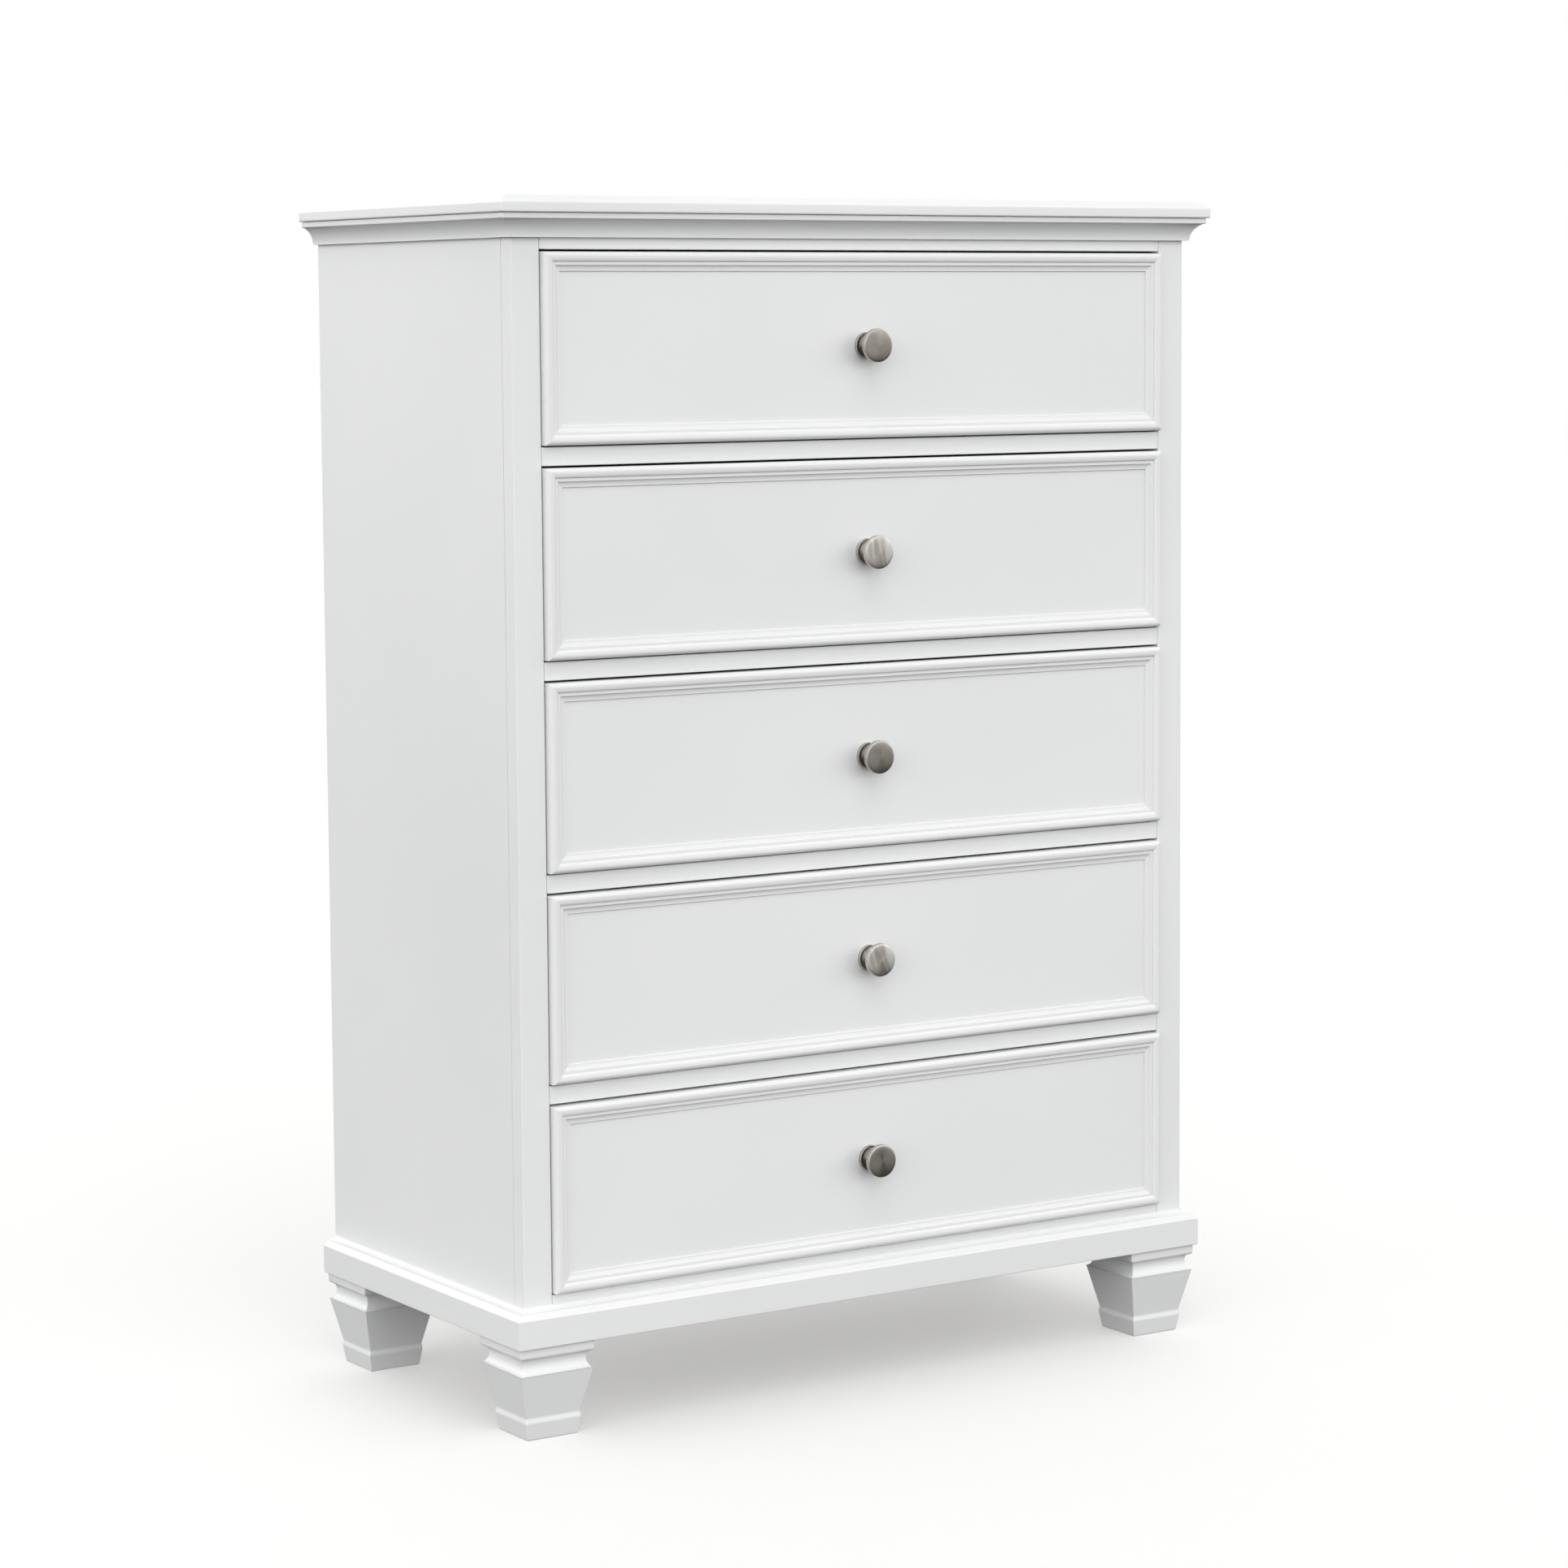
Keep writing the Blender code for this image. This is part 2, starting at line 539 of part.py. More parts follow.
def build_guides(parent):
    """A centre guide for each drawer, from the rail in front to the back panel."""
    front_y = FRONT_Y + FRONT_INNER_DEPTH + GUIDE_FRONT_CLEARANCE
    for number in range(1, DRAWER_COUNT + 1):
        rest_z = HIGHEST_OPENING_TOP_Z - number * OPENING_PITCH + RAIL_HEIGHT + GAP
        low = (-GUIDE_WIDTH / 2, front_y, rest_z)
        high = (GUIDE_WIDTH / 2, BACK_PANEL_FRONT_Y - GAP, rest_z + GUIDE_HEIGHT)
        board(f"centre_guide_{number}", low, high, GUIDE_WOOD, parent)


def build_drawer(number, front, side, back, bottom, knob):
    """One drawer: six pieces on an empty at the middle of its front."""
    low_z = HIGHEST_OPENING_TOP_Z - number * OPENING_PITCH + RAIL_HEIGHT + FRONT_BOTTOM_CLEARANCE
    stem = f"drawer_{number}"
    slide = make_empty(f"{stem}_slide", (0.0, FRONT_Y, low_z + FRONT_HEIGHT / 2))
    floor_z = -FRONT_HEIGHT / 2
    inner_y = FRONT_INNER_DEPTH + GAP
    side_y = (inner_y + BOX_REAR_DEPTH) / 2
    place(f"{stem}_front", front, PAINT, slide, (0.0, 0.0, 0.0))
    spot = (-BOX_HALF_WIDTH, side_y, floor_z)
    place(f"{stem}_side_left", side, BOX_WOOD, slide, spot, FACES_RIGHT)
    spot = (BOX_HALF_WIDTH, side_y, floor_z)
    place(f"{stem}_side_right", side, BOX_WOOD, slide, spot, FACES_LEFT)
    place(f"{stem}_back", back, BOX_WOOD, slide, (0.0, BOX_REAR_DEPTH, floor_z), FACES_FRONT)
    front_edge = FRONT_INNER_DEPTH - GROOVE_DEPTH + GAP
    rear_edge = BOX_REAR_DEPTH - BOX_SIDE_THICKNESS + GROOVE_DEPTH - GAP
    panel_z = floor_z + GROOVE_HEIGHT + BOX_BOTTOM_THICKNESS / 2
    spot = (0.0, (front_edge + rear_edge) / 2, panel_z)
    place(f"{stem}_bottom", bottom, BOX_WOOD, slide, spot)
    turn = (math.pi / 2, 0.0, 0.0)
    place(f"{stem}_knob", knob, NICKEL, slide, (0.0, -FIELD_PROUD - GAP, 0.0), turn)


def build_drawers():
    """Five equal drawers, which share one mesh for each kind of piece."""
    front = front_mesh()
    side_length = BOX_REAR_DEPTH - FRONT_INNER_DEPTH - GAP
    side = prism_mesh("drawer_side", grooved_outline(BOX_SIDE_HEIGHT), side_length)
    back = back_mesh()
    bottom_width = 2 * (BOX_HALF_WIDTH - BOX_SIDE_THICKNESS + GROOVE_DEPTH - GAP)
    box_length = BOX_REAR_DEPTH - BOX_SIDE_THICKNESS - FRONT_INNER_DEPTH
    bottom_length = box_length + 2 * (GROOVE_DEPTH - GAP)
    bottom = block_mesh("drawer_bottom", (bottom_width, bottom_length, BOX_BOTTOM_THICKNESS))
    knob = turned_mesh("knob", knob_profile(), KNOB_SEGMENTS)
    knob.set_sharp_from_angle(angle=KNOB_CREASE)
    for number in range(1, DRAWER_COUNT + 1):
        build_drawer(number, front, side, back, bottom, knob)


clear_scene()
CHEST = make_collection("tall_chest_of_drawers")
CUTTERS = make_collection("cutters")
PAINT = make_material("white_satin_paint", (0.80, 0.81, 0.81), 0.38)
BOX_WOOD = make_material("pale_birch", (0.70, 0.56, 0.39), 0.55)
GUIDE_WOOD = make_material("waxed_hardwood", (0.52, 0.36, 0.21), 0.45)
BOARD = make_material("painted_board", (0.66, 0.65, 0.62), 0.60)
NICKEL = make_material("brushed_nickel", (0.56, 0.53, 0.49), 0.34, 1.0)

case = make_empty("case", (0.0, 0.0, 0.0))
build_base(case)
build_panels(case)
build_sides(case)
build_face_frame(case)
three_sides("crown", crown_outline(), CROWN_BOTTOM_Z, PAINT, case)
build_top(case)
build_guides(case)
build_drawers()
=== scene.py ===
# %% [markdown]
# # A tall chest of five drawers
# The chest is a white painted case on four tapered feet. It has a crown moulding under its top, a
# moulded plinth, and five equal drawers, each with one round metal knob.
# Its working parts were already made to size, so this lesson starts from that frame of plain solids.
# It reads where each solid is, makes the finer pieces around them, and gives every piece its finish.
# A cell is one small step: read it, run it, and look at what it prints.

# %% Load the frame of plain solids
import json
import math

import bmesh
import bpy
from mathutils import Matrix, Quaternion, Vector

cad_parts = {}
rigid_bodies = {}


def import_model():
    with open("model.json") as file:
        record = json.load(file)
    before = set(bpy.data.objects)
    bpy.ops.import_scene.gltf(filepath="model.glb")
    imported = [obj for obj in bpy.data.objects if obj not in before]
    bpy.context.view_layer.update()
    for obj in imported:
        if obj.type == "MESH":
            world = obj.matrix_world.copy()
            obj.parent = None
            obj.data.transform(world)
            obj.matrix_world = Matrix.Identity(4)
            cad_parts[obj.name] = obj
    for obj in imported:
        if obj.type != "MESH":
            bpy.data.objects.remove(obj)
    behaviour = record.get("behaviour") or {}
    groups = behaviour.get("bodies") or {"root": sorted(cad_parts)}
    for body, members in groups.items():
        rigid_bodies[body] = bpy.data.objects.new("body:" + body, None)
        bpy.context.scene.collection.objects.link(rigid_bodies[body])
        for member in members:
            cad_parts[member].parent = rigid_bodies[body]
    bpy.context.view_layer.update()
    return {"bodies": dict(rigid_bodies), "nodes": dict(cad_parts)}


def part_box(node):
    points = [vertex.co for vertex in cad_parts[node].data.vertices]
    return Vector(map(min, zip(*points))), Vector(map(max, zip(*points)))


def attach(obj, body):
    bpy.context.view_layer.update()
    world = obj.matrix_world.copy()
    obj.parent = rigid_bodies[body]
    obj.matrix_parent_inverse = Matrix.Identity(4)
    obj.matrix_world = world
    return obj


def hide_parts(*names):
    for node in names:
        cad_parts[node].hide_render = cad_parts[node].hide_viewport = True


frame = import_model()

# %% [markdown]
# ## Where things are
# Nothing here is placed by eye. Each piece takes its place from the box of the solid that it dresses,
# so a chest of another size would be dressed just as well. The frame stands on the floor at z = 0,
# its drawers face -Y, and all numbers are metres. A millimetre is easier to think in for mouldings,
# so MM turns one into the other.

# %% Read the case's main places
MM = 0.001
DRAWERS = sum(1 for name in frame["bodies"] if name.startswith("drawer_"))

case_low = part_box("front_post_left")[0]
case_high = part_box("side_panel_right")[1]
CASE_FRONT = case_low.y
CASE = (case_low.x, case_low.y, case_high.x, case_high.y)
print("drawers:", DRAWERS, "case in plan:", [round(edge, 4) for edge in CASE])

# %% [markdown]
# ## Shader maths that reads like maths
# A finish in Blender is a web of nodes. Made one by one they are hard to read, so a small class wraps
# an output socket and overloads the signs of arithmetic: `0.4 + 0.1 * speckle` then adds the two Math
# nodes that it needs. Numbers alone stay in Python, where they cost nothing.
# Math nodes would turn a colour grey, so colours and vectors have their own Mix and Vector Math.

# %% Wrap a socket
class Wire:
    """An output socket of a shader node that can be used in sums."""

    def __init__(self, web, socket):
        self.web = web
        self.socket = socket

    def sum_with(self, operation, first, second):
        return self.web.node("ShaderNodeMath", {"operation": operation}, {0: first, 1: second})

    def __add__(self, other):
        return self.sum_with("ADD", self, other)

    def __sub__(self, other):
        return self.sum_with("SUBTRACT", self, other)

    def __rsub__(self, other):
        return self.sum_with("SUBTRACT", other, self)

    def __mul__(self, other):
        return self.sum_with("MULTIPLY", self, other)

    __radd__ = __add__
    __rmul__ = __mul__

    def stretched(self, x, y, z):
        """For a position: how many times finer the pattern is along each axis."""
        return self.web.node("ShaderNodeVectorMath", {"operation": "MULTIPLY"}, {0: self, 1: (x, y, z)})

    def smooth(self, start, end):
        """0 up to start, 1 from end on, and a soft step between them."""
        values = {"Value": self, "From Min": start, "From Max": end}
        return self.web.node("ShaderNodeMapRange", {"interpolation_type": "SMOOTHSTEP"}, values)


print("signs that work on a socket: + - *")

# %% [markdown]
# Any other node comes from one method, `node`: it takes the node's type, then its settings, such as a
# ramp's stops, and then what goes into its sockets. It gives back the output as a wire, so one
# line can use what the last one made. Materials and the sky are both webs of nodes, so both use it.

# %% Wrap a web of nodes
class Web:
    """A node tree, with one way to add any node and to fill its sockets."""

    def __init__(self, tree):
        self.tree = tree

    def node(self, kind, settings=None, values=None, output=0):
        node = self.tree.nodes.new(kind)
        for setting, value in (settings or {}).items():
            if setting == "stops":
                self.set_stops(node.color_ramp, value)
            else:
                setattr(node, setting, value)
        for key, value in (values or {}).items():
            self.feed(node.inputs[key], value)
        return Wire(self, node.outputs[output])

    def set_stops(self, ramp, stops):
        for position, _ in stops[1:-1]:
            ramp.elements.new(position)
        for element, (position, colour) in zip(ramp.elements, stops):
            element.position = position
            element.color = (*colour, 1.0)

    def feed(self, socket, value):
        if isinstance(value, Wire):
            self.tree.links.new(value.socket, socket)
        elif socket.type == "RGBA":
            socket.default_value = (*value, 1.0)
        else:
            socket.default_value = value


print("a web can hold a material or a sky")

# %% [markdown]
# A finish is one material: a web around a Principled shader. A number that is the same all over the
# piece goes straight onto the shader's own socket. The three kinds of node that nearly every finish
# needs, a noise, a mix of two colours and a bump, get short names of their own.

# %% Wrap a material
class Finish(Web):
    """One material, with short ways to feed its shader."""

    def __init__(self, name):
        self.material = bpy.data.materials.new(name)
        self.material.use_nodes = True
        super().__init__(self.material.node_tree)
        self.shader = self.tree.nodes["Principled BSDF"]

    def set(self, **sockets):
        """Feeds the shader: base_color=... goes to its Base Color socket."""
        for name, value in sockets.items():
            title = name.replace("_", " ").title().replace("Ior", "IOR")
            self.feed(self.shader.inputs[title], value)

    def place(self):
        """Where a point is on its own piece, which stays with it when the piece moves."""
        return self.node("ShaderNodeTexCoord", output="Object")

    def cloud(self, place, scale, detail=2.0, roughness=0.5, distortion=0.0):
        """Noise round about 0.5, with scale as blotches to the metre."""
        values = {"Vector": place, "Scale": scale, "Detail": detail, "Roughness": roughness}
        return self.node("ShaderNodeTexNoise", None, {**values, "Distortion": distortion})

    def blend(self, mask, first, second):
        """From the first colour, where the mask is 0, to the second, where it is 1."""
        return self.node("ShaderNodeMix", {"data_type": "RGBA"}, {0: mask, 6: first, 7: second}, 2)

    def bump(self, height, depth):
        """Turns a height of 0 to 1 into shading for a relief of that depth in metres."""
        return self.node("ShaderNodeBump", None, {"Height": height, "Strength": 1.0, "Distance": depth})


print("a finish feeds:", [socket.name for socket in Finish("trial").shader.inputs][:5], "and more")
bpy.data.materials.remove(bpy.data.materials["trial"])

# %% [markdown]
# ## White satin paint
# The case is sprayed with a white lacquer that dries to a soft sheen. Close up it isn't one flat
# white: the spray leaves a fine pebbled skin, and the tone drifts a little over each board. A crest is
# rubbed smoother and is painted lighter and warmer, a painted highlight; a hollow is rougher where
# paint and dust gather, and is painted grey, a painted shade. A painted image could show that, but it
# would blur on a close look. Noise has no size limit, so three clouds make the drift, the sheen and
# the skin, and an attribute on the mouldings says where the crests and hollows are.

# %% Make the white paint
# The next colour is a painted highlight for crests, lighter and warmer than the paint.
RUBBED_HIGHLIGHT = (0.86, 0.845, 0.81)
# The next colour is a painted shade for hollows.
HOLLOW_SHADE = (0.60, 0.60, 0.595)
SKIN_DEPTH = 0.02 * MM


def satin_paint(name, tint, deeper):
    finish = Finish(name)
    place = finish.place()
    drift = finish.cloud(place, 2.2, detail=3.0)
    skin = finish.cloud(place, 620.0, detail=2.0, roughness=0.6)
    sheen = finish.cloud(place, 38.0, detail=3.0)
    # This attribute drives real wear in the roughness, and also the painted highlight and painted shade in
    # the colour.
    wear = finish.node("ShaderNodeAttribute", {"attribute_name": "wear"}, output="Fac")
    crest = wear.smooth(0.1, 1.0)
    hollow = (0.0 - wear).smooth(0.1, 1.0)
    base = finish.blend(drift.smooth(0.3, 0.7), tint, deeper)
    # Crests get a lighter, warmer colour: a painted highlight.
    base = finish.blend(0.55 * crest, base, RUBBED_HIGHLIGHT)
    # Hollows get a grey colour: a painted shade. Their higher roughness is real.
    base = finish.blend(0.30 * hollow, base, HOLLOW_SHADE)
    finish.set(base_color=base, specular_ior_level=0.5, coat_roughness=0.25)
    finish.set(roughness=0.34 + 0.10 * sheen - 0.07 * crest + 0.08 * hollow)
    finish.set(coat_weight=0.05 + 0.10 * crest)
    finish.set(normal=finish.bump(skin + 0.6 * sheen, SKIN_DEPTH))
    print(name, "has", len(finish.tree.nodes), "nodes")
    return finish.material


WHITE_PAINT = satin_paint("white_satin_paint", (0.815, 0.822, 0.828), (0.785, 0.793, 0.80))

# %% [markdown]
# ## Bare wood
# The drawer boxes are pale birch and the centre guides a waxed, browner hardwood. Wood has one
# direction: its fibres run along the board, so every pattern in it is drawn out many times longer
# along the grain than across it. Three clouds are stretched that way: broad bands of growth, finer
# streaks, and short dark pores. The same function makes both woods and both directions, and
# turning the stretch round is all that a board laid the other way needs.

# %% Make wood along any axis
GRAIN = {"x": (1.0, 14.0, 14.0), "y": (14.0, 1.0, 14.0)}
PORE_DEPTH = 0.08 * MM


def bare_wood(name, axis, pale, dark, pore, gloss):
    finish = Finish(name)
    place = finish.place()
    along = place.stretched(*GRAIN[axis])
    bands = finish.cloud(along, 1.6, detail=4.0, roughness=0.55, distortion=0.8)
    streaks = finish.cloud(along, 17.0, detail=3.0, roughness=0.6)
    pores = finish.cloud(along, 95.0, detail=1.0).smooth(0.60, 0.72)
    board = finish.cloud(place, 1.3, detail=1.0).smooth(0.35, 0.65)
    figure = (0.65 * bands + 0.35 * streaks).smooth(0.36, 0.66)
    base = finish.blend(figure, pale, dark)
    base = finish.blend(0.25 * board, base, pale)
    base = finish.blend(0.45 * pores, base, pore)
    finish.set(base_color=base, roughness=gloss + 0.12 * streaks + 0.10 * pores)
    finish.set(normal=finish.bump(0.5 * streaks - 0.7 * pores, PORE_DEPTH))
    print(name, "runs along", axis)
    return finish.material


BIRCH_TONES = ((0.74, 0.60, 0.42), (0.62, 0.46, 0.29), (0.42, 0.29, 0.17))
HARDWOOD_TONES = ((0.50, 0.34, 0.19), (0.36, 0.22, 0.11), (0.20, 0.11, 0.05))

BIRCH = {axis: bare_wood(f"pale_birch_{axis}", axis, *BIRCH_TONES, gloss=0.44) for axis in GRAIN}
HARDWOOD = bare_wood("waxed_hardwood", "y", *HARDWOOD_TONES, gloss=0.30)

# %% [markdown]
# ## Painted fibreboard
# The thin back and the bottom are pressed fibre with one coat of paint. The fibres still show as a
# faint matt fleece, with a few darker flecks. Two clouds and one thresholded cloud are enough.

# %% Make the fibreboard
BOARD_PAINT = (0.70, 0.70, 0.685)
BOARD_PATCH = (0.645, 0.64, 0.62)
FLECK = (0.46, 0.43, 0.38)
FLEECE_DEPTH = 0.10 * MM


def painted_board(name):
    finish = Finish(name)
    place = finish.place()
    fleece = finish.cloud(place, 260.0, detail=4.0, roughness=0.7, distortion=1.2)
    patches = finish.cloud(place, 5.0, detail=3.0)
    flecks = finish.cloud(place.stretched(1.0, 1.0, 0.6), 420.0, detail=1.0).smooth(0.68, 0.74)
    base = finish.blend(patches.smooth(0.3, 0.7), BOARD_PAINT, BOARD_PATCH)
    base = finish.blend(0.35 * flecks, base, FLECK)
    finish.set(base_color=base, roughness=0.52 + 0.16 * fleece)
    finish.set(normal=finish.bump(fleece, FLEECE_DEPTH))
    print(name, "has", len(finish.tree.nodes), "nodes")
    return finish.material


FIBREBOARD = painted_board("painted_fibreboard")

# %% [markdown]
# ## Brushed metal
# A knob is turned on a lathe and brushed while it spins, so its scratches are circles about its axis.
# They stretch each highlight into a streak that points at the middle. The shader's anisotropy gives
# that streak, and a bump of fine rings gives the scratches. The rings need the distance from the axis,
# so each knob keeps its own origin on its axis, with local Z pointing out of the drawer.
# Some knobs were then wiped by hand, which left soft bands across the face. They are a cloud drawn out
# along one direction, in the same bump, and in a lighter tone that is a painted reflection. Rims and
# other crests are painted lighter, a painted highlight, and the hollow of the neck is painted dark, a
# painted shade, from the same crest and hollow attribute. Screws are steel with a bright zinc skin.

# %% Make the metals
RINGS_TO_THE_METRE = 2600.0
BANDS_TO_THE_METRE = 125.0
RING_DEPTH = 0.008 * MM
BAND_DEPTH = 0.30 * MM
# The next colour paints reflection streaks on the bands.
WIPED_REFLECTION = (0.66, 0.64, 0.60)
# The next colour is a painted highlight for metal crests such as the rims.
METAL_CREST_HIGHLIGHT = (0.60, 0.58, 0.545)
# The next colour is a painted shade for metal hollows such as the neck.
METAL_HOLLOW_SHADE = (0.13, 0.115, 0.095)


def brushed_metal(name, colour, darker, rough, banded=False):
    finish = Finish(name)
    place = finish.place()
    flat = place.stretched(1.0, 1.0, 0.0)
    radius = finish.node("ShaderNodeVectorMath", {"operation": "LENGTH"}, {0: flat}, "Value")
    spot = finish.node("ShaderNodeCombineXYZ", None, {"X": radius, "Y": 0.0, "Z": 0.0})
    rings = finish.cloud(spot, RINGS_TO_THE_METRE, detail=3.0, roughness=0.7)
    smears = finish.cloud(place, 90.0, detail=3.0)
    # Here this attribute only paints colour: a painted highlight on crests and a painted shade in hollows.
    wear = finish.node("ShaderNodeAttribute", {"attribute_name": "wear"}, output="Fac")
    relief = rings * (RING_DEPTH / BAND_DEPTH)
    base = finish.blend(smears.smooth(0.35, 0.65), colour, darker)
    if banded:
        along = place.stretched(1.0, 0.14, 0.1)
        bands = finish.cloud(along, BANDS_TO_THE_METRE, detail=1.0, distortion=0.4)
        relief = relief + bands
        # The bands are painted lighter: a painted reflection streak, over the real relief of the bump.
        base = finish.blend(0.8 * bands.smooth(0.42, 0.62), base, WIPED_REFLECTION)
    # Crests such as the rims are painted lighter: a painted highlight.
    base = finish.blend(0.6 * wear.smooth(0.3, 0.9), base, METAL_CREST_HIGHLIGHT)
    # Hollows such as the neck are painted dark: a painted shade.
    base = finish.blend(0.75 * (0.0 - wear).smooth(0.02, 0.18), base, METAL_HOLLOW_SHADE)
    finish.set(metallic=1.0, anisotropic=0.6, base_color=base)
    finish.set(roughness=rough + 0.10 * rings + 0.06 * smears)
    finish.set(normal=finish.bump(relief, BAND_DEPTH))
    print(name, "roughness from", rough)
    return finish.material


NICKEL = brushed_metal("brushed_nickel", (0.30, 0.28, 0.248), (0.26, 0.242, 0.213), 0.30)
WIPED_NICKEL_PAINTED_STREAKS = brushed_metal("wiped_nickel_painted_streaks", (0.44, 0.418, 0.378), (0.39, 0.368, 0.33), 0.36, banded=True)
ZINC = brushed_metal("zinc_plated_steel", (0.62, 0.61, 0.58), (0.50, 0.49, 0.46), 0.30)

# %% [markdown]
# ## A moulding is a section carried round a path
# The top, the crown, the plinth, the feet and the frame round a drawer front have one thing in common:
# one section goes round a rectangle, and it meets itself at mitred corners. A Curve with a bevel
# object could do it, but its corners pinch. Here each point of the section becomes a ring round
# the rectangle, a little further out or in, and the rings are joined by faces.
# A section is a list of (out, level) points. `arc` makes its hollows and rounds.

# %% Points on an arc
def arc(centre, radii, start, end, steps):
    """Points on an ellipse from one angle to another, in degrees."""
    angles = [math.radians(start + (end - start) * step / steps) for step in range(steps + 1)]
    return [(centre[0] + radii[0] * math.cos(a), centre[1] + radii[1] * math.sin(a)) for a in angles]


quarter = arc((0.0, 0.0), (MM, MM), 0, 90, 3)
print("a quarter round of 1 mm:", [(round(out / MM, 2), round(level / MM, 2)) for out, level in quarter])

# %% [markdown]
# ### Where a moulding wears and gets painted highlight and shade
# Sharp crests get rubbed and tight hollows fill with paint, so wear follows curvature: how quickly the
# section turns. The same value also paints a highlight on crests and a shade in hollows. A left turn is
# a crest, a right turn a hollow, and a flat has none. Each long flat also gets two extra points near
# its ends, so that the value fades out just past the edge. Without them it would fade over the whole flat.
# Where the moulding turns a corner, faces that look outward meet in a crest, and faces that look
# inward in a hollow. The section climbs where its faces look outward, so `climb` says which it is.

# %% Give a section its wear and its painted highlight and shade
TIGHT = 2.2 * MM
SHORTEST = 0.3 * MM
FADE = 1.5 * MM


def wear_and_shading_at(before, here, after):
    """From -1, a tight hollow, to 1, a tight crest."""
    a = (here[0] - before[0], here[1] - before[1])
    b = (after[0] - here[0], after[1] - here[1])
    turn = math.atan2(a[0] * b[1] - a[1] * b[0], a[0] * b[0] + a[1] * b[1])
    shortest = max(min(math.hypot(*a), math.hypot(*b)), SHORTEST)
    return max(-1.0, min(1.0, turn / shortest * TIGHT))


def climb(start, end):
    """From -1, straight down, to 1, straight up."""
    return (end[1] - start[1]) / math.dist(start, end)


def with_wear_and_shading(section, closed=False):
    """(out, level, wear and shading, climb) for each point, with rest points on the long flats."""
    count = len(section)
    worn_and_shaded = []
    for i, here in enumerate(section):
        first = not closed and i == 0
        last = not closed and i == count - 1
        before = here if first else section[i - 1]
        ahead = here if last else section[(i + 1) % count]
        wear = 0.0 if first or last else wear_and_shading_at(before, here, ahead)
        worn_and_shaded.append((*here, wear, climb(before, ahead)))
        length = math.dist(here, ahead)
        if length > 2.5 * FADE:
            for share in (FADE / length, 1 - FADE / length):
                rest = [a + (b - a) * share for a, b in zip(here, ahead)]
                worn_and_shaded.append((*rest, 0.0, climb(here, ahead)))
    return worn_and_shaded


print("wear of a square crest:", wear_and_shading_at((0.0, 0.0), (5 * MM, 0.0), (5 * MM, 5 * MM)))

# %% [markdown]
# ### Rings and skins
# `ring` walks round a rectangle that has grown by `out`. Each corner is eased by a small radius, as
# sanding leaves it, and has its own rest points beside it. A ring is open at the back for a moulding
# that stops there, or closed. `skin` joins the rings into a mesh and fills what is left open.

# %% Walk round a rectangle
CORNER_STEPS = 3


def heading(angle):
    """The way that a point moves on a circle at this angle, in degrees."""
    return Vector((-math.sin(math.radians(angle)), math.cos(math.radians(angle))))


def ring(rectangle, out, soft, back):
    """(x, y, corner) points: back is open, flat (it doesn't grow) or round (it grows too)."""
    x0, y0, x1, y1 = rectangle
    left, right, front = x0 - out, x1 + out, y0 - out
    turns = [(left + soft, front + soft, 180), (right - soft, front + soft, 270)]
    if back == "round":
        rear = y1 + out
        turns += [(right - soft, rear - soft, 0), (left + soft, rear - soft, 90)]
    points = []
    for x, y, start in turns:
        curve = [Vector(point) for point in arc((x, y), (soft, soft), start, start + 90, CORNER_STEPS)]
        points.append((*(curve[0] - FADE * heading(start)), 0.0))
        points += [(*point, 1.0) for point in curve]
        points.append((*(curve[-1] + FADE * heading(start + 90)), 0.0))
    if back != "round":
        points = [(left, y1, 0.0), *points, (right, y1, 0.0)]
    return points


print("points in a ring:", len(ring(CASE, 0.0, MM, "round")))

# %% Join the rings into a skin
CORNER_WEAR_AND_SHADING = 0.7


def as_plan(x, y, level):
    """A ring that lies flat, with its level as the height."""
    return Vector((x, y, level))


def skin(name, rectangle, section, soft, back, to_space=as_plan):
    """A mesh from a section carried round a rectangle. An open ring needs a closed section."""
    closed = back == "open"
    bm = bmesh.new()
    wear_and_shading_layer = bm.verts.layers.float.new("wear")
    rows = []
    for out, level, wear, outward in with_wear_and_shading(section, closed):
        row = []
        for x, y, corner in ring(rectangle, out, soft, back):
            vertex = bm.verts.new(to_space(x, y, level))
            vertex[wear_and_shading_layer] = max(-1.0, min(1.0, wear + CORNER_WEAR_AND_SHADING * corner * outward))
            row.append(vertex)
        rows.append(row)
    following = rows[1:] + (rows[:1] if closed else [])
    for row, beyond in zip(rows, following):
        for i in range(len(row) - closed):
            j = (i + 1) % len(row)
            bm.faces.new((row[i], row[j], beyond[j], beyond[i]))
    ends = [[row[0] for row in rows], [row[-1] for row in rows]] if closed else [rows[0], rows[-1]]
    for end in ends:
        bm.faces.new(end)
    bmesh.ops.recalc_face_normals(bm, faces=bm.faces)
    mesh = bpy.data.meshes.new(name)
    bm.to_mesh(mesh)
    bm.free()
    return mesh


# %% [markdown]
# ### From mesh to piece
# A piece is a mesh with a finish that rides on one body of the frame and stands for the plain solids
# it covers. Its rounds should shade smoothly and its flats stay flat, so edges that turn more
# than a set angle are kept sharp, and a Weighted Normal modifier lets the large faces lead.

# %% Make a piece
SHARP = math.radians(38)


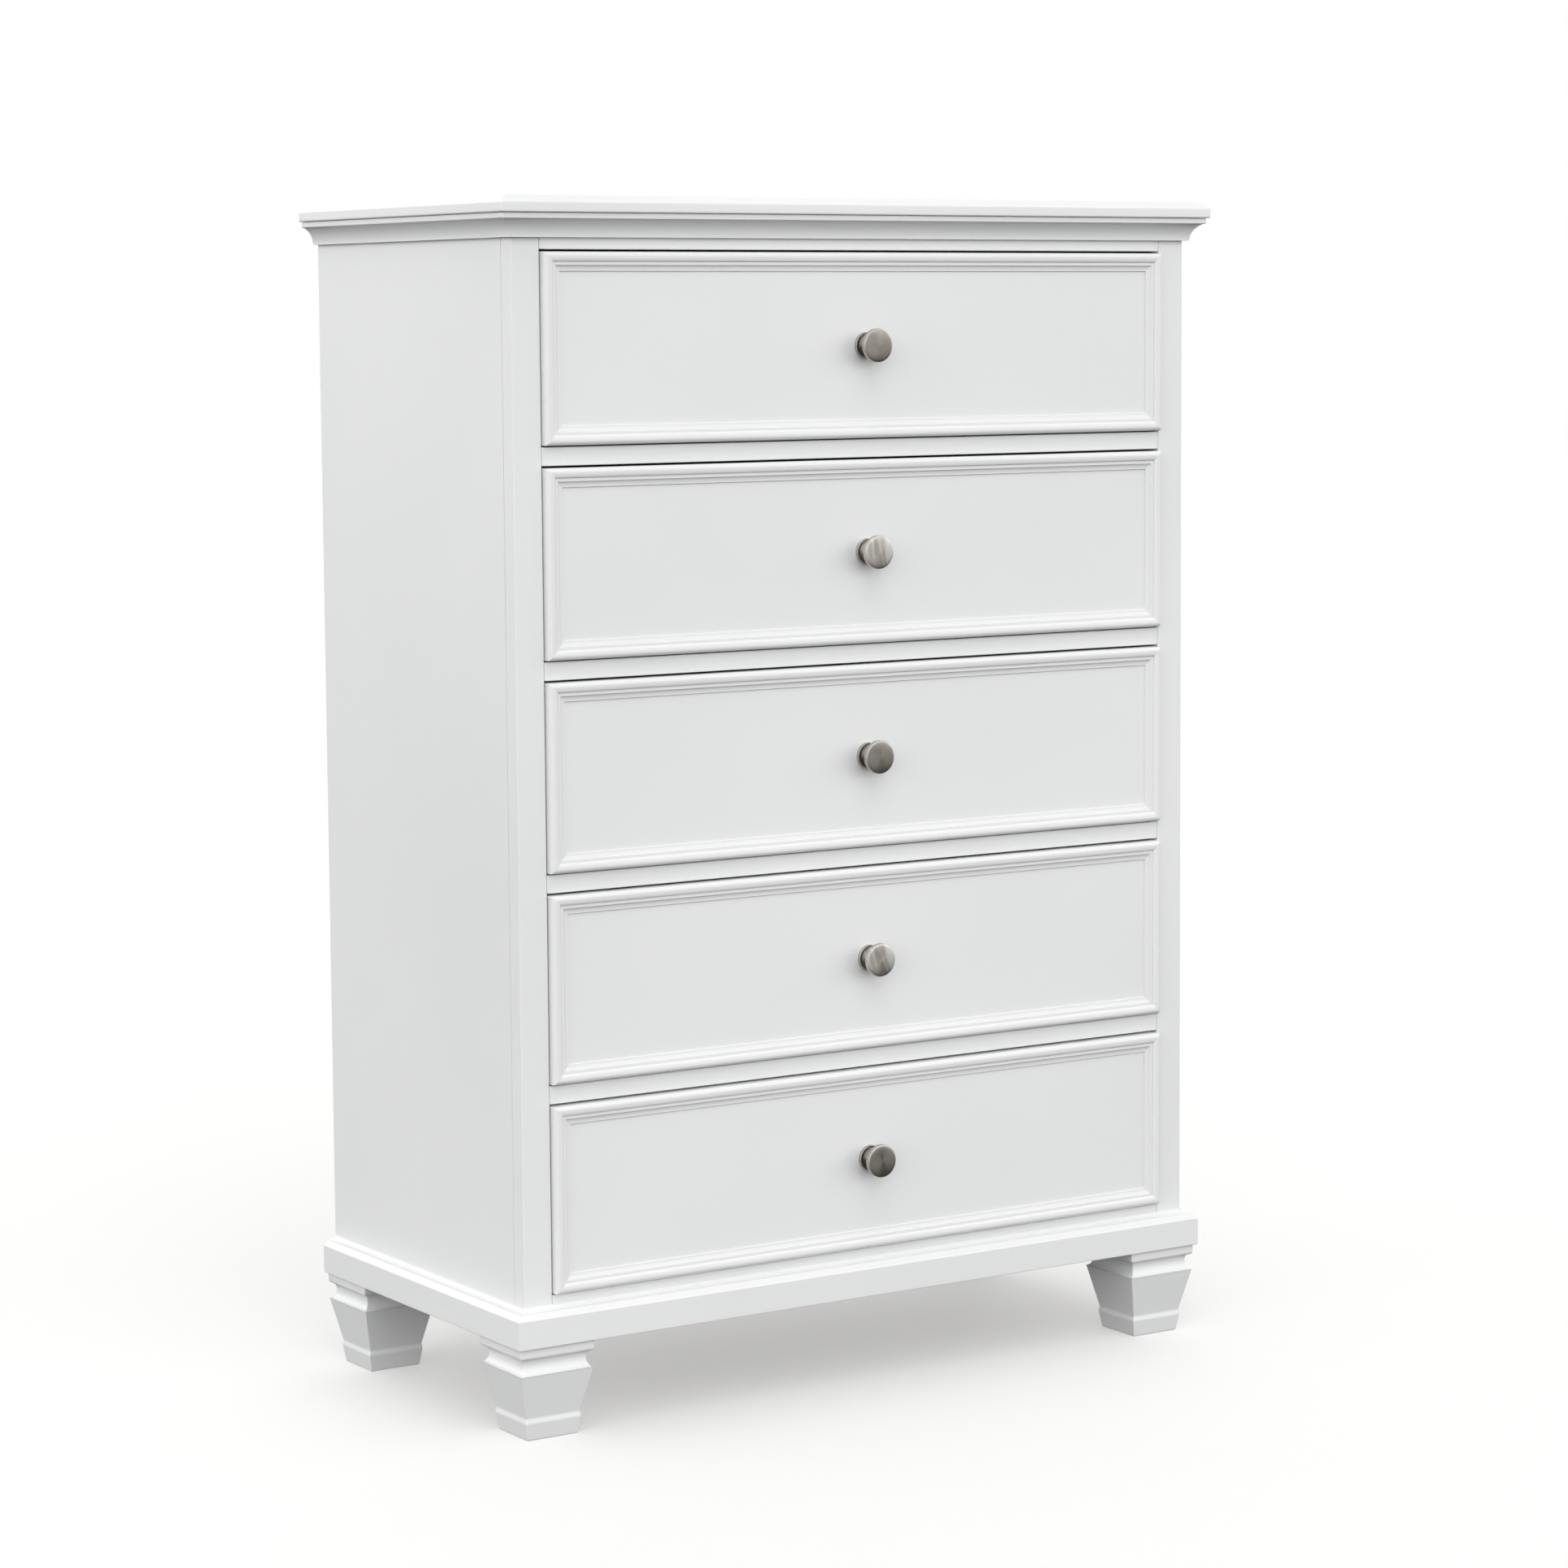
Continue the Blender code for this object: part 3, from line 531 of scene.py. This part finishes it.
def as_piece(name, mesh, material, body, covers=(), spot=(0.0, 0.0, 0.0), turn=(0.0, 0.0, 0.0)):
    """Shows the mesh as a piece that rides on a body, in the place of some solids."""
    mesh.materials.append(material)
    mesh.polygons.foreach_set("use_smooth", [True] * len(mesh.polygons))
    mesh.set_sharp_from_angle(angle=SHARP)
    piece = bpy.data.objects.new(name, mesh)
    piece.location = spot
    piece.rotation_euler = turn
    bpy.context.scene.collection.objects.link(piece)
    even = piece.modifiers.new("even_shading", "WEIGHTED_NORMAL")
    even.keep_sharp = True
    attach(piece, body)
    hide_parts(*covers)
    print(name, "-", len(mesh.polygons), "faces on", body)
    return piece


# %% [markdown]
# ## The top
# The top is a thin board that overhangs the front and both sides. Its upper edge is eased in a long
# slope, and the lower edge only has its corner taken off, so light catches the slope as a bright band.
# It stops flat at the back, where it stands against a wall. It is let down over the case by 2 mm, and
# the crown is as much lower, which gives the edge its full thickness. To keep that overlap out of
# sight from behind, the board stops a little short of the back of the case.

# %% Shape the top
def top_section(thickness):
    """From under the edge, round it and on to the upper face."""
    under, bend, slope_in, slope_down = 1.6 * MM, 3.0 * MM, 11.5 * MM, 8.2 * MM
    bend_drop, ease, ease_in = 0.6 * MM, 7.0 * MM, 0.8 * MM
    steep = math.degrees(math.atan2(slope_down, slope_in))
    shoulder = thickness - slope_down
    centre = (-slope_in - ease_in, thickness - ease)
    points = arc((-under, under), (under, under), 270, 360, 4)
    points += arc((-bend, shoulder - bend_drop), (bend, bend), 0, 90 - steep, 5)
    points += arc(centre, (ease, ease), 90 - steep, 90, 6)
    return points + [(centre[0] - 2 * FADE, thickness)]


LET_DOWN = 2.0 * MM
SHORT = 0.3 * MM
TOP_CORNER = 1.2 * MM

top_low, top_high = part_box("top_panel")
seat = top_low.z - LET_DOWN
section = [(out, seat + level) for out, level in top_section(top_high.z - seat)]
plan = (top_low.x, top_low.y, top_high.x, top_high.y - SHORT)
mesh = skin("eased_top", plan, section, TOP_CORNER, "flat")
as_piece("eased_top", mesh, WHITE_PAINT, "case", ["top_panel"])

# %% [markdown]
# ## The crown
# Under the top, a moulding closes the corner between the overhang and the case: a square fillet above,
# then a cove that sweeps back to a small step against the case. The cove is less than a quarter of an
# ellipse, so that its upper end still faces outward and takes some light. It is one closed section
# carried round three sides. Real crowns are three mitred strips, but filler and paint hide the mitres,
# so one skin stands for all three.

# %% Shape the crown
def crown_section(low, high, overhang):
    fillet, lip, foot, step = 5.2 * MM, 1.2 * MM, 6.0 * MM, 1.0 * MM
    ease = 0.3 * MM
    height = high - low
    lip_low = height - fillet - step
    cove_out = overhang - lip - step
    last = 112
    reach = (cove_out - foot) / (1 + math.cos(math.radians(last)))
    rise = lip_low / math.sin(math.radians(last))
    points = [(ease, 0.0)]
    points += arc((foot + reach, 0.0), (reach, rise), 180, last, 14)
    points += arc((overhang - lip, lip_low + lip), (lip, lip), 270, 360, 5)
    points += [(overhang, height - ease), (overhang - ease, height), (ease, height)]
    return [(out, low + level) for out, level in points]


CROWN_CORNER = 0.7 * MM

crown_low, crown_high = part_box("crown_front")
section = crown_section(crown_low.z, crown_high.z - LET_DOWN, CASE_FRONT - crown_low.y)
mesh = skin("crown_moulding", CASE, section, CROWN_CORNER, "open")
strips = ["crown_front", "crown_left", "crown_right"]
as_piece("crown_moulding", mesh, WHITE_PAINT, "case", strips)

# %% [markdown]
# ## The plinth
# The case stands on a frame with a moulded upper edge: a flat face, a slope, a fine groove called a
# quirk, and a small cove that runs up to the case. The quirk is under a millimetre, yet its
# shadow is the crisp line that makes the moulding read as two parts.

# %% Shape the plinth
def plinth_section(low, high, overhang):
    seat, slope_out, slope_high, quirk, wall = 31.0 * MM, 8.6 * MM, 5.5 * MM, 0.7 * MM, 1.0 * MM
    deep, ease, crisp = 45.0 * MM, 0.8 * MM, 0.3 * MM
    height = high - low
    slope_top = seat + slope_high
    cove_out = slope_out - quirk
    points = [(-deep, 0.0), (overhang - ease, 0.0)]
    points += arc((overhang - ease, ease), (ease, ease), 270, 360, 3)[1:]
    points += arc((overhang - ease, seat - crisp), (ease, ease), 0, 50, 3)
    points += arc((slope_out + crisp, slope_top - crisp), (crisp, crisp), 50, 180, 4)
    points += [(slope_out, slope_top + quirk)]
    points += arc((cove_out, height), (cove_out - wall, height - slope_top - quirk), 270, 180, 10)
    points += [(crisp, height), (crisp, seat), (-deep, seat)]
    return [(out, low + level) for out, level in points]


PLINTH_CORNER = 0.8 * MM

plinth_low, plinth_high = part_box("plinth_front")
section = plinth_section(plinth_low.z, plinth_high.z, CASE_FRONT - plinth_low.y)
mesh = skin("plinth_moulding", CASE, section, PLINTH_CORNER, "open")
strips = ["plinth_front", "plinth_left", "plinth_right"]
as_piece("plinth_moulding", mesh, WHITE_PAINT, "case", strips)

# %% [markdown]
# ## The feet
# Each foot is square in plan: a collar under the plinth, a hollow waist that flares out to a shoulder,
# a leg that tapers down, and a small base block that tapers again. A square piece with a shaped
# profile is a ring round a single point, grown to the half width at each level.

# %% Shape the feet
def foot_section(height):
    """From the floor up: (half width, height)."""
    collar, collar_round, collar_high = 45.0 * MM, 3.5 * MM, 8.5 * MM
    waist, neck_high, shoulder, flare_high = 38.3 * MM, 6.9 * MM, 44.5 * MM, 10.5 * MM
    ankle, ankle_z, base, base_z, sole = 33.0 * MM, 24.4 * MM, 34.0 * MM, 18.8 * MM, 31.0 * MM
    collar_low = height - collar_high
    under = collar - collar_round
    waist_z = collar_low - collar_round - neck_high
    points = [(sole - 1.0 * MM, 0.0), (sole, 0.8 * MM), (base - 0.2 * MM, base_z - 0.6 * MM)]
    points += [(base - 0.1 * MM, base_z + 0.4 * MM), (ankle, ankle_z)]
    flare = arc((shoulder, waist_z), (shoulder - waist, flare_high), 180, 270, 12)
    points += [(shoulder - 0.3 * MM, flare[-1][1] - 0.5 * MM)]
    points += flare[::-1]
    points += arc((under, waist_z), (under - waist, neck_high), 180, 90, 9)[1:]
    points += arc((under, collar_low), (collar_round, collar_round), 270, 360, 8)[1:]
    return points + [(collar, height - 0.4 * MM), (collar - 0.4 * MM, height)]


FOOT_CORNER = 1.0 * MM

for row in ("front", "back"):
    for side in ("left", "right"):
        low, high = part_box(f"foot_{row}_{side}")
        x, y = (low.x + high.x) / 2, (low.y + high.y) / 2
        name = f"tapered_foot_{row}_{side}"
        mesh = skin(name, (x, y, x, y), foot_section(high.z - low.z), FOOT_CORNER, "round")
        as_piece(name, mesh, WHITE_PAINT, "case", [f"foot_{row}_{side}"])

# %% [markdown]
# ## The drawer fronts
# The eye goes to the fronts. Each is a flat field in a moulded frame: a rounded bead at the edge, a
# narrow flat fillet, a little cove, and a small step down to the field. The same rings do it, standing
# up: they lie in the plane of the front, grow inward, and their level is how far they stand proud.

# %% Shape the drawer fronts
FIELD_PROUD = 2.5 * MM
FRONT_CORNER = 0.5 * MM


def front_section(back_proud):
    """From the edge of the back face, round the bead and in to the field."""
    edge, crest, bead_wide, bead_low = 4.5 * MM, 9.0 * MM, 10.2 * MM, 7.3 * MM
    fillet, fillet_wide, cove_wide, cove_low = 6.6 * MM, 3.8 * MM, 6.0 * MM, 4.2 * MM
    step, ease = 0.6 * MM, 0.5 * MM
    points = [(-ease, back_proud), (0.0, back_proud + ease)]
    points += arc((-edge, edge), (edge, crest - edge), 0, 90, 10)
    points += arc((-edge, bead_low), (bead_wide - edge, crest - bead_low), 90, 180, 9)[1:]
    points += [(-bead_wide - 0.1 * MM, fillet + 0.1 * MM), (-bead_wide - 0.4 * MM, fillet)]
    cove_end = bead_wide + fillet_wide + cove_wide
    cove = arc((-cove_end, fillet), (cove_wide, fillet - cove_low), 0, -90, 8)
    points += [(cove[0][0] + 0.2 * MM, fillet)] + cove[1:]
    points += [(-cove_end - 0.1 * MM, cove_low - 0.3 * MM), (-cove_end - step, FIELD_PROUD)]
    points += [(-cove_end - step - 0.8 * MM, FIELD_PROUD)]
    return points + [(-cove_end - step - 3 * FADE, FIELD_PROUD)]


def as_front(x, z, proud):
    """A ring that stands up in the plane of the drawer fronts."""
    return Vector((x, CASE_FRONT - proud, z))


for number in range(1, DRAWERS + 1):
    low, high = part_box(f"drawer_{number}_front")
    name = f"moulded_front_{number}"
    section = front_section(CASE_FRONT - high.y)
    mesh = skin(name, (low.x, low.z, high.x, high.z), section, FRONT_CORNER, "round", as_front)
    as_piece(name, mesh, WHITE_PAINT, f"drawer_{number}", [f"drawer_{number}_front"])

# %% [markdown]
# ## The knobs
# A knob is turned: one profile spun about its axis. A Screw modifier would do it, and so would rings of
# points in a loop, which also let the first and last point close neatly on the axis. The face is
# very slightly domed, the rim is a straight band, and the neck sweeps down into a dished flange.
# The profile runs the other way round from a moulding's section, so its crest and hollow value changes sign.
# Every second knob has the wiped bands with their painted reflection, and each is screwed in at an angle of
# its own.

# %% Turn a profile
TURNS = 72


def turned(name, profile):
    """A closed solid from (radius, height) points. The first and the last lie on the axis."""
    bm = bmesh.new()
    wear_and_shading_layer = bm.verts.layers.float.new("wear")
    angles = [2 * math.pi * step / TURNS for step in range(TURNS)]
    rows = []
    for before, (radius, height), after in zip(profile, profile[1:], profile[2:]):
        row = [bm.verts.new((radius * math.cos(a), radius * math.sin(a), height)) for a in angles]
        for vertex in row:
            vertex[wear_and_shading_layer] = -wear_and_shading_at(before, (radius, height), after)
        rows.append(row)
    for row, beyond in zip(rows, rows[1:]):
        for i in range(TURNS):
            j = (i + 1) % TURNS
            bm.faces.new((row[i], row[j], beyond[j], beyond[i]))
    for tip, row in ((profile[0], rows[0]), (profile[-1], rows[-1])):
        middle = bm.verts.new((0.0, 0.0, tip[1]))
        for i in range(TURNS):
            bm.faces.new((middle, row[i], row[(i + 1) % TURNS]))
    bmesh.ops.recalc_face_normals(bm, faces=bm.faces)
    mesh = bpy.data.meshes.new(name)
    bm.to_mesh(mesh)
    bm.free()
    return mesh


def knob_profile(projection, radius, stud_end):
    """From the middle of the face, round the head, neck and flange, to the end of the stud."""
    neck, flange, flange_high, stud = 6.0 * MM, 14.5 * MM, 4.0 * MM, 2.0 * MM
    dome, rim_round, band, under_round, dish = 0.9 * MM, 0.8 * MM, 4.2 * MM, 0.6 * MM, 1.4 * MM
    rim_top = projection - dome - rim_round
    rim_low = rim_top - band
    under = rim_low - under_round
    waist = (flange_high + under) / 2
    head_in, flange_in, face_in, flange_edge = 2.4 * MM, 1.8 * MM, 1.0 * MM, 0.6 * MM
    head_sweep, flange_sweep = radius - head_in - neck, flange - flange_in - neck
    edge_centre = (flange - flange_edge, flange_high - flange_edge)
    points = arc((0.0, projection - dome), (radius - face_in, dome), 90, 12, 14)
    points += arc((radius - rim_round, rim_top), (rim_round, rim_round), 60, 0, 5)
    points += arc((radius - under_round, rim_low), (under_round, under_round), 0, -85, 4)
    points += arc((neck + head_sweep, waist), (head_sweep, under - waist), 90, 180, 12)
    points += arc((neck + flange_sweep, waist), (flange_sweep, waist - flange_high + dish), 180, 270, 12)[1:]
    points += [(flange - 1.3 * MM, flange_high - 0.1 * MM)]
    points += arc(edge_centre, (flange_edge, flange_edge), 90, 0, 4)
    return points + [(flange, 0.0), (stud, 0.0), (stud, stud_end), (0.0, stud_end)]


# %% Set the knobs
KNOB_TURN = math.radians(-6)

field_y = CASE_FRONT - FIELD_PROUD
for number in range(1, DRAWERS + 1):
    low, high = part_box(f"drawer_{number}_knob")
    spot = ((low.x + high.x) / 2, field_y, (low.z + high.z) / 2)
    profile = knob_profile(field_y - low.y, (high.x - low.x) / 2, field_y - high.y)
    name = f"nickel_knob_{number}"
    metal = WIPED_NICKEL_PAINTED_STREAKS if number % 2 == 0 else NICKEL
    as_piece(name, turned(name, profile), metal, f"drawer_{number}",
             [f"drawer_{number}_knob"], spot, (math.pi / 2, number * KNOB_TURN, 0.0))

# %% [markdown]
# ### Screws
# A screw holds each knob from inside its drawer, and rows of them hold the back. A screw head is
# turned like a knob, and its cross is cut with two thin blocks. Cutting is what a Boolean modifier is
# for. The head is cut once, and every screw is then a copy of that mesh.

# %% Cut a screw head
CROSS = (0.22, 1.2)


def block(name, size):
    bm = bmesh.new()
    bmesh.ops.create_cube(bm, size=1.0)
    bmesh.ops.scale(bm, vec=size, verts=bm.verts)
    mesh = bpy.data.meshes.new(name)
    bm.to_mesh(mesh)
    bm.free()
    return mesh


def cross_head(name, radius, height, washer, washer_high):
    """A domed head with a cross in it, on a washer, along local Z. CROSS is in radii of the head."""
    points = [(0.0, washer_high + height)]
    points += arc((0.0, washer_high + 0.3 * height), (radius, 0.7 * height), 84, 0, 8)
    points += [(radius, washer_high), (washer, washer_high), (washer, 0.0), (0.0, 0.0)]
    head = bpy.data.objects.new(name, turned(name, points))
    bpy.context.scene.collection.objects.link(head)
    cutters = []
    for wide, long in (CROSS, CROSS[::-1]):
        bar = bpy.data.objects.new("bar", block("bar", (wide * radius, long * radius, 0.9 * height)))
        bar.location.z = washer_high + height
        bpy.context.scene.collection.objects.link(bar)
        cut = head.modifiers.new("cross", "BOOLEAN")
        cut.operation = "DIFFERENCE"
        cut.solver = "EXACT"
        cut.object = bar
        cutters.append(bar)
    mesh = bpy.data.meshes.new_from_object(head.evaluated_get(bpy.context.evaluated_depsgraph_get()))
    mesh.name = name
    for helper in (head, *cutters):
        bpy.data.objects.remove(helper, do_unlink=True)
    return mesh


KNOB_SCREW = cross_head("knob_screw", 4.2 * MM, 2.4 * MM, 6.5 * MM, 0.8 * MM)
BACK_SCREW = cross_head("back_screw", 3.6 * MM, 0.8 * MM, 3.8 * MM, 0.1 * MM)
print("faces in a screw head:", len(KNOB_SCREW.polygons))

# %% Set the screws
def joined(name, mesh, spots, turn):
    """One mesh with a copy of the given one at each spot."""
    bm = bmesh.new()
    for spot in spots:
        before = len(bm.verts)
        bm.from_mesh(mesh)
        bm.verts.ensure_lookup_table()
        added = bm.verts[before:]
        bmesh.ops.rotate(bm, verts=added, matrix=turn)
        bmesh.ops.translate(bm, verts=added, vec=spot)
    result = bpy.data.meshes.new(name)
    bm.to_mesh(result)
    bm.free()
    return result


FACING_BACK = Quaternion((1.0, 0.0, 0.0), -math.pi / 2).to_matrix()
SCREW_INSET = 4.5 * MM
SCREW_END = 30 * MM
SCREW_ROWS = 7
BETWEEN = (-0.2, 0.0, 0.2)

for number in range(1, DRAWERS + 1):
    low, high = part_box(f"drawer_{number}_knob")
    inner_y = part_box(f"drawer_{number}_front")[1].y
    spot = ((low.x + high.x) / 2, inner_y, (low.z + high.z) / 2)
    as_piece(f"knob_screw_{number}", KNOB_SCREW.copy(), ZINC, f"drawer_{number}",
             spot=spot, turn=(-math.pi / 2, 0.0, 0.0))

back_low, back_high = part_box("back_panel")
columns = [back_low.x + SCREW_INSET, back_high.x - SCREW_INSET]
gap = (back_high.z - back_low.z - 2 * SCREW_END) / (SCREW_ROWS - 1)
rows = [back_low.z + SCREW_END + step * gap for step in range(SCREW_ROWS)]
spots = [(x, back_high.y, z) for x in columns for z in rows]
spots += [(x, back_high.y, rows[end]) for x in BETWEEN for end in (0, -1)]
mesh = joined("back_screws", BACK_SCREW, spots, FACING_BACK)
as_piece("back_screws", mesh, ZINC, "case")

# %% [markdown]
# ## The plain boards
# The posts, rails, panels, guides and drawer boxes are boards, and their solids already have the right
# shape. They stay, and get a finish and softer edges. The frame's meshes must not change, but
# modifiers may be added: Weld joins the faces along each edge, and Bevel takes the edge off. Its
# hardened normals keep the flats flat.

# %% Dress the boards that stay
SOFT_EDGE = 0.35 * MM
ALMOST_NOTHING = 0.01 * MM
LEAST_TURN = math.radians(30)


def finish_of(node_name):
    """The finish for a solid that stays in view."""
    if node_name.startswith("centre_guide"):
        return HARDWOOD
    if node_name in ("back_panel", "bottom_panel"):
        return FIBREBOARD
    if node_name.startswith("drawer_"):
        return BIRCH["y"] if "_side_" in node_name else BIRCH["x"]
    return WHITE_PAINT


dressed = 0
for node_name, node in sorted(frame["nodes"].items()):
    if node.hide_render:
        continue
    for slot in node.material_slots:
        slot.material = finish_of(node_name)
    weld = node.modifiers.new("weld", "WELD")
    weld.merge_threshold = ALMOST_NOTHING
    edge = node.modifiers.new("soft_edges", "BEVEL")
    edge.width = SOFT_EDGE
    edge.segments = 2
    edge.limit_method = "ANGLE"
    edge.angle_limit = LEAST_TURN
    edge.harden_normals = True
    dressed += 1
print("boards dressed:", dressed)

# %% [markdown]
# ## The room
# The chest stands on a plain pale floor in soft light. The floor is a wide disc, so that it has no
# corner in sight from any side. It is like the lit white acrylic of a product table: a little
# light comes through it, so the shadow on it stays soft and pale. A very faint cloud keeps it from
# being perfectly even, which no real floor is.

# %% Lay the floor
FLOOR_TONES = ((0.62, 0.62, 0.617), (0.59, 0.59, 0.587))
FLOOR_GLOW = 0.32
FLOOR_RADIUS = 30.0
GRIT_DEPTH = 0.05 * MM


def pale_floor():
    finish = Finish("pale_floor")
    place = finish.place()
    cloud = finish.cloud(place, 0.8, detail=4.0)
    grit = finish.cloud(place, 300.0)
    finish.set(base_color=finish.blend(cloud, *FLOOR_TONES), specular_ior_level=0.3)
    finish.set(roughness=0.75 + 0.1 * grit, normal=finish.bump(grit, GRIT_DEPTH))
    finish.set(emission_color=(1.0, 0.99, 0.975), emission_strength=FLOOR_GLOW)
    return finish.material


floor_mesh = bpy.data.meshes.new("floor")
bm = bmesh.new()
bmesh.ops.create_circle(bm, cap_ends=True, segments=96, radius=FLOOR_RADIUS)
bm.to_mesh(floor_mesh)
bm.free()
floor_mesh.materials.append(pale_floor())
floor = bpy.data.objects.new("floor", floor_mesh)
bpy.context.scene.collection.objects.link(floor)
print("floor radius:", FLOOR_RADIUS)

# %% [markdown]
# ## Light
# White on white only shows its shape through soft shade, so the light comes from somewhere but has no
# hard edge. The sky is a gradient, brightest in a band a little above eye level and dark below, so
# that upright faces are bright and the underside of every moulding is in shade. One broad sun from
# high in front brightens each ledge and throws the soft shadow under the chest, and a weaker one
# from the left keeps the side as bright as the front.
# A bright floor would throw light up and wash that shade out. Studios lay black cards on it;
# here the floor is simply not seen by the rays that carry bounced light.

# %% Paint the sky
SKY = [(0.0, 0.10), (0.44, 0.10), (0.52, 1.30), (0.62, 2.65), (0.80, 0.52), (1.0, 0.52)]
SKY_TINT = (1.0, 0.997, 0.99)


def paint_sky():
    """A gradient that lights the chest, behind a plain white that only the camera sees."""
    world = bpy.data.worlds.new("studio")
    world.use_nodes = True
    web = Web(world.node_tree)
    towards = web.node("ShaderNodeTexCoord", output="Generated")
    height = web.node("ShaderNodeSeparateXYZ", None, {0: towards}, "Z")
    stops = [(place, [glow * tint for tint in SKY_TINT]) for place, glow in SKY]
    gradient = web.node("ShaderNodeValToRGB", {"stops": stops}, {0: 0.5 + 0.5 * height})
    light = web.node("ShaderNodeBackground", None, {"Color": gradient})
    backdrop = web.node("ShaderNodeBackground", None, {"Color": (1.0, 1.0, 1.0)})
    seen = web.node("ShaderNodeLightPath", output="Is Camera Ray")
    either = web.node("ShaderNodeMixShader", None, {0: seen, 1: light, 2: backdrop})
    web.feed(web.tree.nodes["World Output"].inputs["Surface"], either)
    return world


bpy.context.scene.world = paint_sky()
floor.visible_diffuse = False
floor.visible_glossy = False
print("sky stops:", SKY)

# %% Set the lights
def broad_sun(name, towards, strength, wide):
    """A sun that is so many degrees wide, like a softbox. It lights the whole floor evenly."""
    light = bpy.data.lights.new(name, "SUN")
    light.energy = strength
    light.angle = math.radians(wide)
    lamp = bpy.data.objects.new(name, light)
    lamp.rotation_mode = "QUATERNION"
    lamp.rotation_quaternion = Vector(towards).to_track_quat("-Z", "Y")
    bpy.context.scene.collection.objects.link(lamp)
    print(name, "strength", strength)


broad_sun("front_high", (0.25, 0.80, -1.10), 0.85, 50)
broad_sun("side_left", (1.0, 0.10, -0.35), 0.37, 60)

# %% [markdown]
# ## Camera
# A long lens, a little below the height of the top, looks at the front from the left. The frame is
# shifted down slightly, and a trace of roll is kept, as in a real studio set-up.

# %% Place the camera
LENS = 96.15
EYE = Vector((-2.5692, -4.0096, 1.1843))
AIM = 0.5743
DIP = -0.0993
ROLL = -0.0070
SHIFT = -0.03
SENSOR = 36.0

camera_data = bpy.data.cameras.new("camera")
camera_data.lens = LENS
camera_data.sensor_width = SENSOR
camera_data.shift_y = SHIFT
camera = bpy.data.objects.new("camera", camera_data)
forward = Vector((math.sin(AIM) * math.cos(DIP), math.cos(AIM) * math.cos(DIP), math.sin(DIP)))
camera.location = EYE
camera.rotation_mode = "QUATERNION"
camera.rotation_quaternion = forward.to_track_quat("-Z", "Y") @ Quaternion((0.0, 0.0, 1.0), ROLL)
bpy.context.scene.collection.objects.link(camera)
bpy.context.scene.camera = camera
bpy.context.scene.view_settings.view_transform = "Standard"
